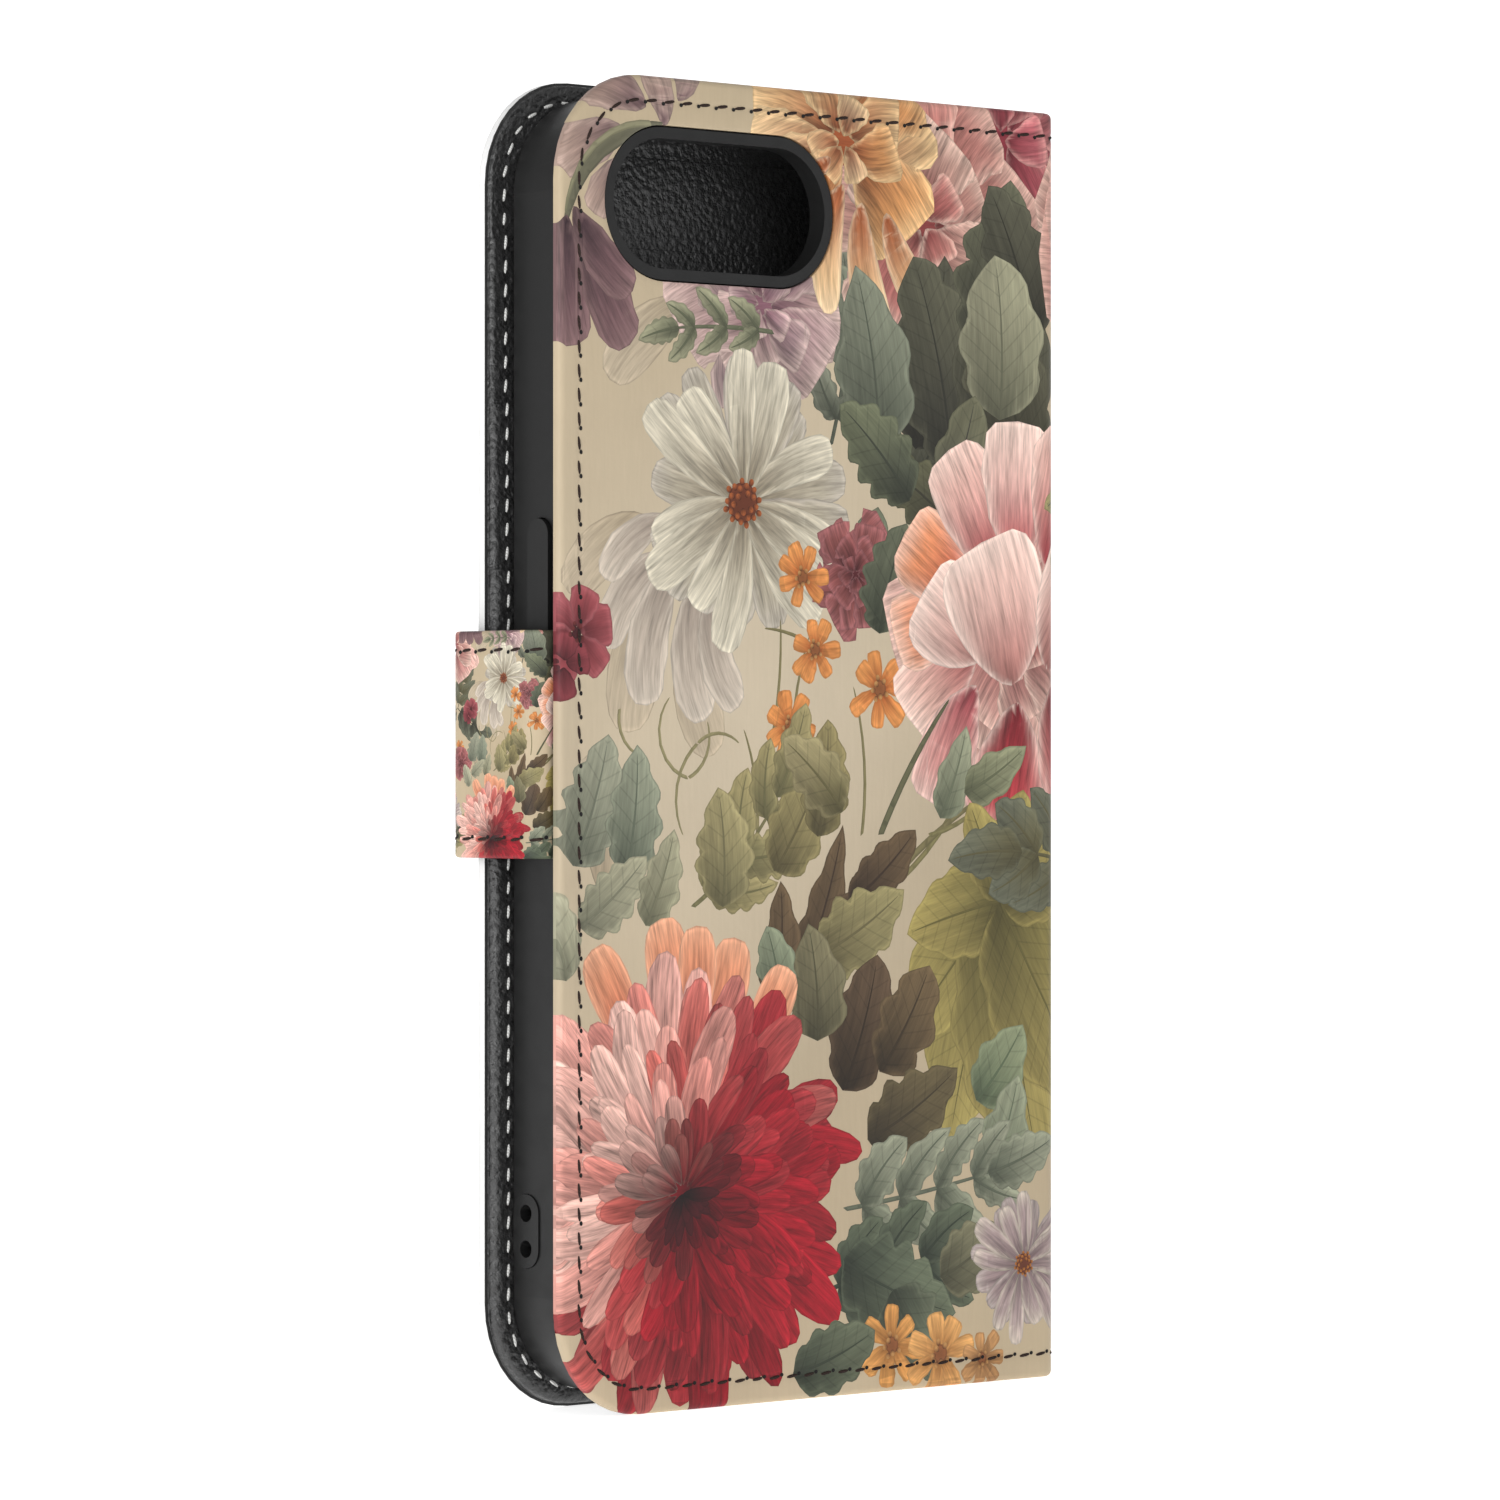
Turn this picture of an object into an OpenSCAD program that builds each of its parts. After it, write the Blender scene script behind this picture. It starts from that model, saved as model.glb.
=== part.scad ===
// Book-style wallet case for a phone, closed and standing on its lower edge.
// x runs from the free edge (-) to the spine (+), y from the back cover (-)
// to the front cover (+), z up. The phone's back faces the back cover.

/* [Phone] */
// Width of the phone that the tray holds
phone_w = 71.5; // [60:0.5:86]
// Height of the phone
phone_h = 146.7; // [122:0.5:176]
// Thickness of the phone
phone_t = 7.8; // [6.5:0.1:9.4]
// Space left round the phone inside the tray
phone_gap = 0.2; // [0.1:0.05:0.4]

/* [Tray] */
// Thickness of the tray's side walls
tray_wall = 1.3; // [1.1:0.1:1.6]
// Thickness of the tray's floor
tray_floor = 1.0; // [0.8:0.1:1.5]
// Thickness of the lip that holds the phone
lip_t = 0.9; // [0.7:0.1:1.2]
// How far the lip reaches over the phone
lip_reach = 1.2; // [0.8:0.1:1.6]
// Radius of the tray's outer corners
tray_r = 11.5; // [9:0.5:14]
// Thickness of the adhesive sheet under the tray
tape_t = 0.15; // [0.1:0.05:0.3]

/* [Camera window] */
// Radius of the round ends of the window in the skin
window_r = 9.0; // [8:0.25:10.8]
// Distance between the centres of the window's two round ends
window_span = 18.0; // [15:0.5:21.6]
// Window centre in from the phone's free-side edge
window_in = 20.3; // [19:0.1:24]
// Window centre down from the phone's top
window_down = 11.1; // [11:0.1:13.3]
// Width of the raised ring round the window
bezel_w = 1.3; // [1:0.1:1.6]

/* [Keys] */
// Length of the power key
power_len = 17.0; // [14:0.5:20]
// Power key centre down from the phone's top
power_down = 56.0; // [47:0.5:67]
// Length of the short upper key
action_len = 7.0; // [6:0.5:8.4]
// Short upper key centre down from the phone's top
action_down = 33.0; // [28:0.5:34]
// Length of each volume key
volume_len = 11.0; // [9:0.5:12]
// Upper volume key centre down from the phone's top
volume_down_from_top = 45.5; // [45:0.5:47]
// Distance between the two volume keys' centres
volume_pitch = 13.5; // [13:0.5:16]
// Width of every key
key_w = 3.6; // [3:0.1:4.3]
// How far the power key stands out of the wall
key_proud = 0.6; // [0.4:0.1:0.8]
// How far the keys beside the spine stand out
spine_key_proud = 0.3; // [0.2:0.1:0.4]
// Free space round a key in its slot
key_gap = 0.15; // [0.1:0.05:0.2]

/* [Tray openings] */
// Width of the charging slot
port_w = 12.5; // [11:0.5:15]
// Height of the charging slot
port_h = 6.4; // [5.4:0.1:7]
// Width of each sound slot
sound_w = 11.0; // [9:0.5:13]
// Height of each sound slot
sound_h = 2.6; // [2:0.1:3.2]
// Distance from the charging slot's centre to a sound slot's centre
sound_pitch = 15.0; // [14:0.5:18]
// Radius of the microphone hole in the top wall
mic_r = 0.8; // [0.6:0.1:1]

/* [Lanyard insert] */
// Radius of each lanyard hole
lanyard_r = 1.0; // [0.8:0.05:1.2]
// Distance between the two lanyard holes
lanyard_pitch = 4.1; // [3.4:0.1:4.9]
// Middle of the two holes up from the cover's lower edge
lanyard_up = 21.0; // [17.5:0.5:25]
// Solid rubber round each lanyard hole
lanyard_rim = 1.2; // [1:0.1:1.4]
// How far the insert stands out of the wall
lanyard_proud = 0.2; // [0.1:0.05:0.3]
// Free space round the insert
insert_gap = 0.05; // [0.02:0.01:0.1]

/* [Covers] */
// Cover beyond the tray at the free edge
margin_free = 3.0; // [2.6:0.1:3.6]
// Cover beyond the tray at the top and at the bottom
margin_end = 2.0; // [1.6:0.1:2.4]
// Radius of the covers' free-side corners
cover_r = 12.5; // [10.5:0.5:15]
// Thickness of the printed outer skin
skin_t = 0.7; // [0.6:0.05:0.85]
// Thickness of the back board
back_board_t = 0.5; // [0.4:0.05:0.6]
// Thickness of the back lining
back_lining_t = 0.5; // [0.4:0.05:0.6]
// Thickness of the front board
front_board_t = 1.0; // [0.9:0.1:1.2]
// Thickness of the front lining
front_lining_t = 0.4; // [0.3:0.05:0.5]
// Thickness of the banknote pocket's panel
bill_t = 0.3; // [0.25:0.05:0.4]
// Thickness of each card pocket's panel
card_t = 0.25; // [0.2:0.05:0.3]
// Space between the closed front cover and the tray
closed_gap = 0.2; // [0.15:0.05:0.4]
// Width of the skin's turned edge
turn_w = 1.0; // [0.8:0.1:1.2]
// Free space round a board inside the turned edge
board_gap = 0.1; // [0.05:0.05:0.2]
// Lining set in from the cover's edge
lining_in = 0.3; // [0.2:0.05:0.4]

/* [Spine] */
// Thickness of the spine's board
spine_board_t = 0.5; // [0.4:0.05:0.6]
// Thickness of the spine's lining
spine_lining_t = 0.4; // [0.3:0.05:0.5]
// Space between the spine and the tray
spine_gap = 0.9; // [0.8:0.1:1.2]
// Outer radius of the bend at each crease
crease_r = 2.2; // [2:0.1:2.6]

/* [Pockets] */
// Top edge of the upper card pocket above the cover's lower edge
card_top = 135.0; // [113:0.5:140]
// Step down from one card pocket's edge to the next
card_step = 19.0; // [16:0.5:23]
// Banknote pocket's top edge down from the cover's top
bill_down = 8.0; // [6.5:0.5:9.5]

/* [Seams] */
// Seam in from the cover's edge
seam_in = 2.9; // [2.6:0.1:3.2]
// Width of a line of stitches
thread_w = 0.5; // [0.4:0.05:0.6]
// Depth of the channel a line of stitches lies in
thread_d = 0.25; // [0.2:0.05:0.3]

/* [Strap] */
// Width of the strap
strap_w = 26.0; // [22:0.5:31]
// Middle of the strap above the cover's middle
strap_up = 0.0; // [-3:0.5:3]
// Thickness of the strap's outer skin
strap_skin_t = 0.8; // [0.7:0.05:0.95]
// Thickness of the strap's lining
strap_lining_t = 0.8; // [0.7:0.05:0.95]
// Strap's inner face beyond the covers' free edge
strap_out = 1.05; // [0.9:0.05:1.3]
// Space between the strap's tab and the front cover
tab_gap = 0.3; // [0.2:0.05:0.5]
// How far the tab reaches over the front cover
tab_reach = 26.0; // [22:0.5:31]
// Radius of the tab's end corners
tab_r = 5.0; // [4:0.5:6]
// Outer radius of the strap's bends
strap_r = 2.4; // [2:0.1:2.8]
// Length of the tongue sewn under the back lining
tongue_len = 13.0; // [11:0.5:15.5]
// Free space round that tongue in the lining
tongue_gap = 0.15; // [0.1:0.05:0.2]
// Strap's seam in from its edge
strap_seam_in = 2.2; // [1.8:0.1:2.6]

/* [Magnets] */
// Radius of each magnet
magnet_r = 4.5; // [3.8:0.1:5.4]
// Thickness of the magnets in the strap's tab
tab_magnet_t = 0.5; // [0.4:0.05:0.6]
// Thickness of the magnets in the front cover
cover_magnet_t = 0.8; // [0.6:0.05:0.9]
// Distance between the two magnets' centres
magnet_pitch = 12.0; // [11:0.5:14]
// Free space round a magnet
magnet_gap = 0.1; // [0.05:0.05:0.2]

/* [Hidden] */
$fn = 48;
cut = 1; // how far a cutting shape runs past the face it cuts

// Phone space, tray and cover, across x
tray_w = phone_w + 2*phone_gap + 2*tray_wall;
spine_t = skin_t + spine_board_t + spine_lining_t;
cover_w = margin_free + tray_w + spine_gap + spine_t;
flat_w = cover_w - crease_r; // where the flat covers end at the creases
tray_x = margin_free;
space_x = tray_x + tray_wall;
phone_x = space_x + phone_gap;

// Up z
tray_h = phone_h + 2*phone_gap + 2*tray_wall;
cover_h = tray_h + 2*margin_end;
tray_z = margin_end;
space_z = tray_z + tray_wall;
phone_top = cover_h - margin_end - tray_wall - phone_gap;

// Through y, from the back cover's outer face
back_lining_y = skin_t + back_board_t;
tape_y = back_lining_y + back_lining_t;
tray_y = tape_y + tape_t;
space_y = tray_y + tray_floor;
space_t = phone_t + phone_gap/2;
lip_y = space_y + space_t;
tray_top_y = lip_y + lip_t;
tray_t = tray_top_y - tray_y;
card_count = 3;
card_y = tray_top_y + closed_gap;
bill_y = card_y + card_count*card_t;
front_lining_y = bill_y + bill_t;
front_board_y = front_lining_y + front_lining_t;
front_skin_y = front_board_y + front_board_t;
cover_t = front_skin_y + skin_t;

// Camera window
window_x = phone_x + window_in;
window_z = phone_top - window_down;
bezel_gap = 0.2; // between the raised ring and the skin's cut edge
bezel_r = window_r - bezel_gap;
bezel_sunk = 0.3; // ring's face below the skin's outer face

// Keys and openings, at the phone's middle depth
key_y = space_y + phone_t/2;
power_z = phone_top - power_down;
action_z = phone_top - action_down;
volume_up_z = phone_top - volume_down_from_top;
volume_down_z = volume_up_z - volume_pitch;
mic_in = 12; // microphone hole from the phone's middle
insert_w = 2*(lanyard_r + lanyard_rim);
insert_y = tray_y + 0.76*tray_t;

// Strap
strap_t = strap_skin_t + strap_lining_t;
strap_z = cover_h/2 - strap_w/2 + strap_up;
foot_gap = 0.2; // between the strap's foot and the tray
foot_x = margin_free - foot_gap;
band_x = -strap_out - strap_t;
bend_x = band_x + strap_r;
band_y0 = tape_y + strap_r;
tab_y = cover_t + tab_gap;
tab_top_y = tab_y + strap_t;
band_y1 = tab_top_y - strap_r;
magnet_x = tab_reach - tab_r - magnet_r - 1.5;
magnet_z = strap_z + strap_w/2;

// The origin is at the bottom centre of the closed case
origin_x = (cover_w + band_x)/2;
origin_y = tab_top_y/2;

print_skin = "#bfae95";
thread_dark = "#24201f";
thread_white = "#e6e2da";
key_black = "#222224";
black_hide = "#1b1a1a";
rubber_black = "#1e1e20";
board_grey = "#8a8378";
tape_grey = "#b9b6ad";

// ---- shared shapes ----

module centred() {
    translate([-origin_x, -origin_y, 0]) children();
}

// A flat outline, drawn in x and z, made t thick from y on
module slab(y, t) {
    translate([0, y + t, 0]) rotate([90, 0, 0]) linear_extrude(t) children();
}

module rounded(x, z, w, h, r) {
    translate([x + r, z]) square([w - 2*r, h]);
    translate([x, z + r]) square([w, h - 2*r]);
    for (cx = [x + r, x + w - r], cz = [z + r, z + h - r]) translate([cx, cz]) circle(r);
}

// Cover outline: round corners at the free edge, square ones at the crease
module cover_shape(inset = 0, end = flat_w) {
    r = cover_r - inset;
    translate([inset + r, inset]) square([end - inset - r, cover_h - 2*inset]);
    translate([inset, inset + r]) square([r + cut, cover_h - 2*inset - 2*r]);
    for (cz = [inset + r, cover_h - inset - r]) translate([inset + r, cz]) circle(r);
}

// A strip that follows the cover's outline, open at the crease
module cover_strip(inset, w) {
    difference() {
        cover_shape(inset);
        cover_shape(inset + w, flat_w + cut);
    }
}

module window_shape(r) {
    for (s = [-1, 1]) translate([window_x + s*window_span/2, window_z]) circle(r);
    translate([window_x - window_span/2, window_z - r]) square([window_span, 2*r]);
}

// Obround of overall length len and width w, centred, along y of the outline
module obround(len, w) {
    for (s = [-1, 1]) translate([0, s*(len - w)/2]) circle(d = w);
    square([w, len - w], center = true);
}

// Obround bar along x from x0, standing in the wall at height z
module wall_bar(x0, t, y, z, len, w) {
    translate([x0, y, z]) rotate([90, 0, 90]) linear_extrude(t) obround(len, w);
}

module seam(y, inset) {
    slab(y, thread_d) cover_strip(inset - thread_w/2, thread_w);
}

// ---- back cover ----

module back_skin() {
    color(print_skin) centred() difference() {
        union() {
            slab(0, skin_t) cover_shape();
            slab(skin_t - 0.01, back_board_t + 0.01) cover_strip(0, turn_w);
        }
        slab(-cut, skin_t + 2*cut) window_shape(window_r);
        slab(-cut, cut + thread_d) cover_strip(seam_in - thread_w/2, thread_w);
    }
}

module back_board() {
    color(board_grey) centred() slab(skin_t, back_board_t) difference() {
        cover_shape(turn_w + board_gap);
        window_shape(window_r);
    }
}

// The strap's tongue replaces the lining where it is sewn in
module tongue_shape(grow = 0) {
    translate([lining_in - grow, strap_z - grow]) square([tongue_len + 2*grow, strap_w + 2*grow]);
}

module back_lining() {
    color(black_hide) centred() difference() {
        slab(back_lining_y, back_lining_t) difference() {
            cover_shape(lining_in);
            window_shape(window_r);
            tongue_shape(tongue_gap);
            translate([-cut, strap_z - tongue_gap])
                square([cut + lining_in + tongue_gap, strap_w + 2*tongue_gap]);
        }
        slab(tape_y - thread_d, thread_d + cut) cover_strip(seam_in - thread_w/2, thread_w);
    }
}

module back_outer_thread() {
    color(thread_dark) centred() seam(0, seam_in);
}

module back_inner_thread() {
    color(thread_white) centred() slab(tape_y - thread_d, thread_d) difference() {
        cover_strip(seam_in - thread_w/2, thread_w);
        tongue_shape(tongue_gap);
    }
}

// ---- tray ----

module tray_tape() {
    tape_in = 5; // tape set in from the tray's outline and from the window
    tape_r = tray_r - tape_in;
    tape_h = window_z - window_r - tape_in - tray_z - tape_in;
    color(tape_grey) centred() slab(tape_y, tape_t)
        rounded(tray_x + tape_in, tray_z + tape_in, tray_w - 2*tape_in, tape_h, tape_r);
}

module tray_body() {
    inner_r = tray_r - tray_wall;
    difference() {
        slab(tray_y, tray_t) rounded(tray_x, tray_z, tray_w, tray_h, tray_r);
        slab(space_y, space_t) rounded(space_x, space_z, tray_w - 2*tray_wall,
            tray_h - 2*tray_wall, inner_r);
        slab(lip_y - 0.01, lip_t + cut) rounded(space_x + lip_reach, space_z + lip_reach,
            tray_w - 2*tray_wall - 2*lip_reach, tray_h - 2*tray_wall - 2*lip_reach,
            inner_r - lip_reach);
    }
}

// Slot through the lower wall, centred at x
module bottom_slot(x, w, h) {
    translate([x, key_y, tray_z - cut]) linear_extrude(tray_wall + 2*cut)
        rotate([0, 0, 90]) obround(w, h);
}

module tray() {
    middle_x = phone_x + phone_w/2;
    free_wall = tray_x - cut;
    spine_wall = tray_x + tray_w - tray_wall - cut;
    through = tray_wall + 2*cut;
    slot = 2*key_gap;
    color(rubber_black) centred() difference() {
        union() {
            tray_body();
            slab(bezel_sunk, space_y - bezel_sunk) window_shape(bezel_r);
        }
        slab(-cut, space_y + 2*cut) window_shape(bezel_r - bezel_w);
        wall_bar(free_wall, through, key_y, power_z, power_len + slot, key_w + slot);
        wall_bar(spine_wall, through, key_y, action_z, action_len + slot, key_w + slot);
        wall_bar(spine_wall, through, key_y, volume_up_z, volume_len + slot, key_w + slot);
        wall_bar(spine_wall, through, key_y, volume_down_z, volume_len + slot, key_w + slot);
        wall_bar(free_wall, through, insert_y, lanyard_up, lanyard_pitch + insert_w + 2*insert_gap,
            insert_w + 2*insert_gap);
        bottom_slot(middle_x, port_w, port_h);
        for (s = [-1, 1]) bottom_slot(middle_x + s*sound_pitch, sound_w, sound_h);
        translate([middle_x + mic_in, key_y, phone_top]) cylinder(r = mic_r, h = 2*through);
    }
}

module lanyard_insert() {
    color(key_black) centred() difference() {
        wall_bar(tray_x - lanyard_proud, tray_wall + lanyard_proud, insert_y, lanyard_up,
            lanyard_pitch + insert_w, insert_w);
        for (s = [-1, 1]) translate([tray_x - cut, insert_y, lanyard_up + s*lanyard_pitch/2])
            rotate([0, 90, 0]) cylinder(r = lanyard_r, h = tray_wall + 2*cut);
    }
}

module free_key(z, len) {
    color(key_black) centred() wall_bar(tray_x - key_proud, tray_wall + key_proud, key_y, z, len, key_w);
}

module spine_key(z, len) {
    color(key_black) centred() wall_bar(tray_x + tray_w - tray_wall, tray_wall + spine_key_proud,
        key_y, z, len, key_w);
}

module power_key() { free_key(power_z, power_len); }
module action_key() { spine_key(action_z, action_len); }
module volume_up_key() { spine_key(volume_up_z, volume_len); }
module volume_down_key() { spine_key(volume_down_z, volume_len); }

// ---- strap ----

module strap_block(x0, x1, y0, y1) {
    translate([x0, y0, strap_z]) cube([x1 - x0, y1 - y0, strap_w]);
}

// The tongue lies in the lining's layer, and the foot stands on it beside the tray
module strap_anchor() {
    color(print_skin) centred() {
        slab(back_lining_y, back_lining_t) tongue_shape();
        strap_block(lining_in, foot_x, back_lining_y, tape_y + strap_t);
        strap_block(bend_x, foot_x, tape_y, tape_y + strap_t);
    }
}

// Two straight seam lines along the strap, from x0 to x1 or y0 to y1
module strap_lines(size, place) {
    for (z = [strap_seam_in, strap_w - strap_seam_in])
        translate([place[0], place[1], strap_z + z - thread_w/2]) cube([size[0], size[1], thread_w]);
}

module strap_band_skin() {
    color(print_skin) centred() difference() {
        strap_block(band_x, band_x + strap_skin_t, band_y0, band_y1);
        strap_lines([thread_d + cut, band_y1 - band_y0 + 2*cut], [band_x - cut, band_y0 - cut]);
    }
}

module strap_band_lining() {
    color(black_hide) centred() strap_block(band_x + strap_skin_t, band_x + strap_t, band_y0, band_y1);
}

module strap_band_thread() {
    color(thread_dark) centred() strap_lines([thread_d, band_y1 - band_y0], [band_x, band_y0]);
}

module tab_shape(inset = 0, start = bend_x) {
    r = tab_r - inset;
    z0 = strap_z + inset;
    h = strap_w - 2*inset;
    translate([start, z0]) square([tab_reach - inset - r - start, h]);
    translate([tab_reach - inset - r - cut, z0 + r]) square([r + cut, h - 2*r]);
    for (cz = [z0 + r, z0 + h - r]) translate([tab_reach - inset - r, cz]) circle(r);
}

module tab_seam_shape() {
    difference() {
        tab_shape(strap_seam_in - thread_w/2);
        tab_shape(strap_seam_in + thread_w/2, bend_x - cut);
    }
}

module magnet_shape(grow = 0) {
    for (s = [-1, 1]) translate([magnet_x, magnet_z + s*magnet_pitch/2]) circle(magnet_r + grow);
}

module strap_tab_skin() {
    color(print_skin) centred() difference() {
        slab(tab_y + strap_lining_t, strap_skin_t) tab_shape();
        slab(tab_top_y - thread_d, thread_d + cut) tab_seam_shape();
    }
}

module strap_tab_lining() {
    color(black_hide) centred() difference() {
        slab(tab_y, strap_lining_t) tab_shape();
        slab(tab_y + strap_lining_t - tab_magnet_t, tab_magnet_t + cut) magnet_shape(magnet_gap);
    }
}

module strap_tab_thread() {
    color(thread_dark) centred() slab(tab_top_y - thread_d, thread_d) tab_seam_shape();
}

module strap_tab_magnets() {
    color("silver") centred() slab(tab_y + strap_lining_t - tab_magnet_t, tab_magnet_t) magnet_shape();
}

// ---- spine ----

// A strip of the spine from x0, t thick, kept clear of the creases by inset
module spine_strip(x0, t, inset, z_inset) {
    translate([x0, crease_r + inset, z_inset])
        cube([t, cover_t - 2*crease_r - 2*inset, cover_h - 2*z_inset]);
}

// The two seam lines across the spine; past lengthens and thickens them to cut with
module spine_lines(past = 0) {
    for (z = [seam_in, cover_h - seam_in])
        translate([cover_w - thread_d, crease_r - past, z - thread_w/2])
            cube([thread_d + past, cover_t - 2*crease_r + 2*past, thread_w]);
}

module spine_skin() {
    color(print_skin) centred() difference() {
        spine_strip(cover_w - skin_t, skin_t, 0, 0);
        spine_lines(cut);
    }
}

module spine_board() {
    color(board_grey) centred()
        spine_strip(cover_w - skin_t - spine_board_t, spine_board_t, board_gap, turn_w);
}

module spine_lining() {
    color(black_hide) centred() spine_strip(cover_w - spine_t, spine_lining_t, 0, lining_in);
}

module spine_thread() {
    color(thread_dark) centred() spine_lines();
}

// ---- front cover ----

module front_skin() {
    color(print_skin) centred() difference() {
        union() {
            slab(front_skin_y, skin_t) cover_shape();
            slab(front_board_y, front_board_t + 0.01) cover_strip(0, turn_w);
        }
        slab(cover_t - thread_d, thread_d + cut) cover_strip(seam_in - thread_w/2, thread_w);
    }
}

module front_board() {
    color(board_grey) centred() slab(front_board_y, front_board_t) difference() {
        cover_shape(turn_w + board_gap);
        magnet_shape(magnet_gap);
    }
}

module front_magnets() {
    color("silver") centred() slab(front_skin_y - cover_magnet_t, cover_magnet_t) magnet_shape();
}

module front_lining() {
    color(black_hide) centred() slab(front_lining_y, front_lining_t) cover_shape(lining_in);
}

// A pocket panel that ends at the height top
module pocket(y, t, top) {
    color(black_hide) centred() slab(y, t) intersection() {
        cover_shape(lining_in);
        square([flat_w, top]);
    }
}

module bill_pocket() { pocket(bill_y, bill_t, cover_h - bill_down); }
module card_pocket_upper() { pocket(card_y + 2*card_t, card_t, card_top); }
module card_pocket_middle() { pocket(card_y + card_t, card_t, card_top - card_step); }

module card_pocket_lower() { pocket(card_y, card_t, card_top - 2*card_step); }

module front_outer_thread() {
    color(thread_dark) centred() seam(cover_t - thread_d, seam_in);
}

// The inner seam climbs one panel at each pocket's edge
module front_inner_thread() {
    rise = closed_gap/2; // height of the stitches on the panel
    edges = [0, card_top - 2*card_step, card_top - card_step, card_top, cover_h - bill_down, cover_h];
    faces = [card_y, card_y + card_t, card_y + 2*card_t, bill_y, front_lining_y];
    color(thread_white) centred() for (i = [0:len(faces) - 1])
        slab(faces[i] - rise, rise) intersection() {
            cover_strip(seam_in - thread_w/2, thread_w);
            translate([0, edges[i]]) square([flat_w, edges[i + 1] - edges[i]]);
        }
}

back_skin();
back_board();
back_lining();
back_outer_thread();
back_inner_thread();
tray_tape();
tray();
lanyard_insert();
power_key();
action_key();
volume_up_key();
volume_down_key();
strap_anchor();
strap_band_skin();
strap_band_lining();
strap_band_thread();
strap_tab_skin();
strap_tab_lining();
strap_tab_thread();
strap_tab_magnets();
spine_skin();
spine_board();
spine_lining();
spine_thread();
front_skin();
front_board();
front_magnets();
front_lining();
bill_pocket();
card_pocket_upper();
card_pocket_middle();
card_pocket_lower();
front_outer_thread();
front_inner_thread();
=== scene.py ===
# %% [markdown]
# # A flower-printed wallet case for a phone
#
# The case is three sorts of thing: leather sheets that fold round a spine, a moulded rubber tray,
# and a great many small stitches. The frame below is the working model, so every piece here is
# placed from its boxes; the pockets, the lining stitches and the strap's tongue ride on one of its
# bodies.

# %% Load the frame
import math
import random

import bmesh
import bpy
import numpy as np
from mathutils import Matrix, Vector
from mathutils.geometry import delaunay_2d_cdt
from mathutils.kdtree import KDTree


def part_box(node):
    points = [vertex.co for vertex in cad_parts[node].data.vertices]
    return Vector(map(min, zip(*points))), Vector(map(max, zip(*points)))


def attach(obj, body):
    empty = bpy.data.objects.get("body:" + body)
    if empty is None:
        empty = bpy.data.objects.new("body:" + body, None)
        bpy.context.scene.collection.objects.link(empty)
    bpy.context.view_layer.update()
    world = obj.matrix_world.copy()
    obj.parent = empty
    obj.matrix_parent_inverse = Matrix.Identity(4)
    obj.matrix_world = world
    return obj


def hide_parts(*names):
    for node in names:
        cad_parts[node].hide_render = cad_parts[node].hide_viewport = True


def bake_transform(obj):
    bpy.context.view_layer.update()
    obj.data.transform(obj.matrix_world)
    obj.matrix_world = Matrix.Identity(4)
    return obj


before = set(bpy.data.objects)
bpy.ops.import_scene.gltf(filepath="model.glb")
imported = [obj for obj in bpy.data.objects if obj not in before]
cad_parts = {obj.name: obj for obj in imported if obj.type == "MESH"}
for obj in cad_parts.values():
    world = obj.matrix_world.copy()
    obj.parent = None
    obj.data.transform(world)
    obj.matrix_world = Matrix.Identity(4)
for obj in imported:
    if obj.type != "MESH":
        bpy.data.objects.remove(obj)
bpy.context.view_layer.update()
MM = 0.001

# %% [markdown]
# All sizes come from the frame. Working in millimetres keeps the numbers the ones a case maker
# would use; the last step of each piece turns them into metres.

# %% Sizes of the covers and the strap
def box_mm(node):
    low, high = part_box(node)
    return Vector(low)/MM, Vector(high)/MM

back_lo, back_hi = box_mm("back_skin")
spine_lo, spine_hi = box_mm("spine_skin")
front_hi = box_mm("front_skin")[1]
strap_lo, strap_hi = box_mm("strap_band_skin")
tab_lo, tab_hi = box_mm("strap_tab_skin")
left, crease, right = back_lo.x, back_hi.x, spine_hi.x
back, front, tall = back_lo.y, front_hi.y, back_hi.z
bend = right - crease
flat = crease - left
arc = bend*math.pi/2
sheet_w = 2*flat + 2*arc + (front - back - 2*bend)
half_sheet = sheet_w/2
corner_r = 12.5
seam_in = 2.9
fold_reach = 0.25
skin_t = spine_hi.x - spine_lo.x
board_in = 1.02
back_lining_depths = (1.2, 1.7)
front_lining_depths = (1.7, 2.1)
spine_lining_depths = (1.2, 1.6)
print(f"sheet {sheet_w:.1f} by {tall:.1f} mm, creases {bend:.1f} mm round")

# %% [markdown]
# ## Floor, light and camera
# A white sweep and wide soft lights, as in a product studio. The camera stands level with the
# middle of the case, behind its opening edge, far off with a long lens so that upright edges
# stay parallel.

# %% Camera
view_turn = math.radians(42.37)
view_distance = 757.5
view_aside = -2.97
view_drop = -0.63
lens_mm = 153.5

ahead = Vector((math.sin(view_turn), math.cos(view_turn), 0))
aside = Vector((math.cos(view_turn), -math.sin(view_turn), 0))
middle = Vector(((left + right)/2, (back + front)/2, tall/2))
camera_data = bpy.data.cameras.new("camera")
camera_data.lens = lens_mm
camera = bpy.data.objects.new("camera", camera_data)
bpy.context.scene.collection.objects.link(camera)
camera.location = (middle - ahead*view_distance + aside*view_aside + Vector((0, 0, view_drop)))*MM
camera.rotation_euler = (math.pi/2, 0, -view_turn)
camera_data.clip_end = 20
bpy.context.scene.camera = camera
bpy.context.scene.view_settings.view_transform = "Standard"

# %% Floor and lights
def pick_edges(obj, wanted):
    """Selects the edges in edit mode whose two ends, in the object's frame, pass the test."""
    bpy.ops.mesh.select_mode(type="EDGE")
    bpy.ops.mesh.select_all(action="DESELECT")
    mesh = bmesh.from_edit_mesh(obj.data)
    for edge in mesh.edges:
        if wanted(edge.verts[0].co, edge.verts[1].co):
            edge.select_set(True)
    bmesh.update_edit_mesh(obj.data)

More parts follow.
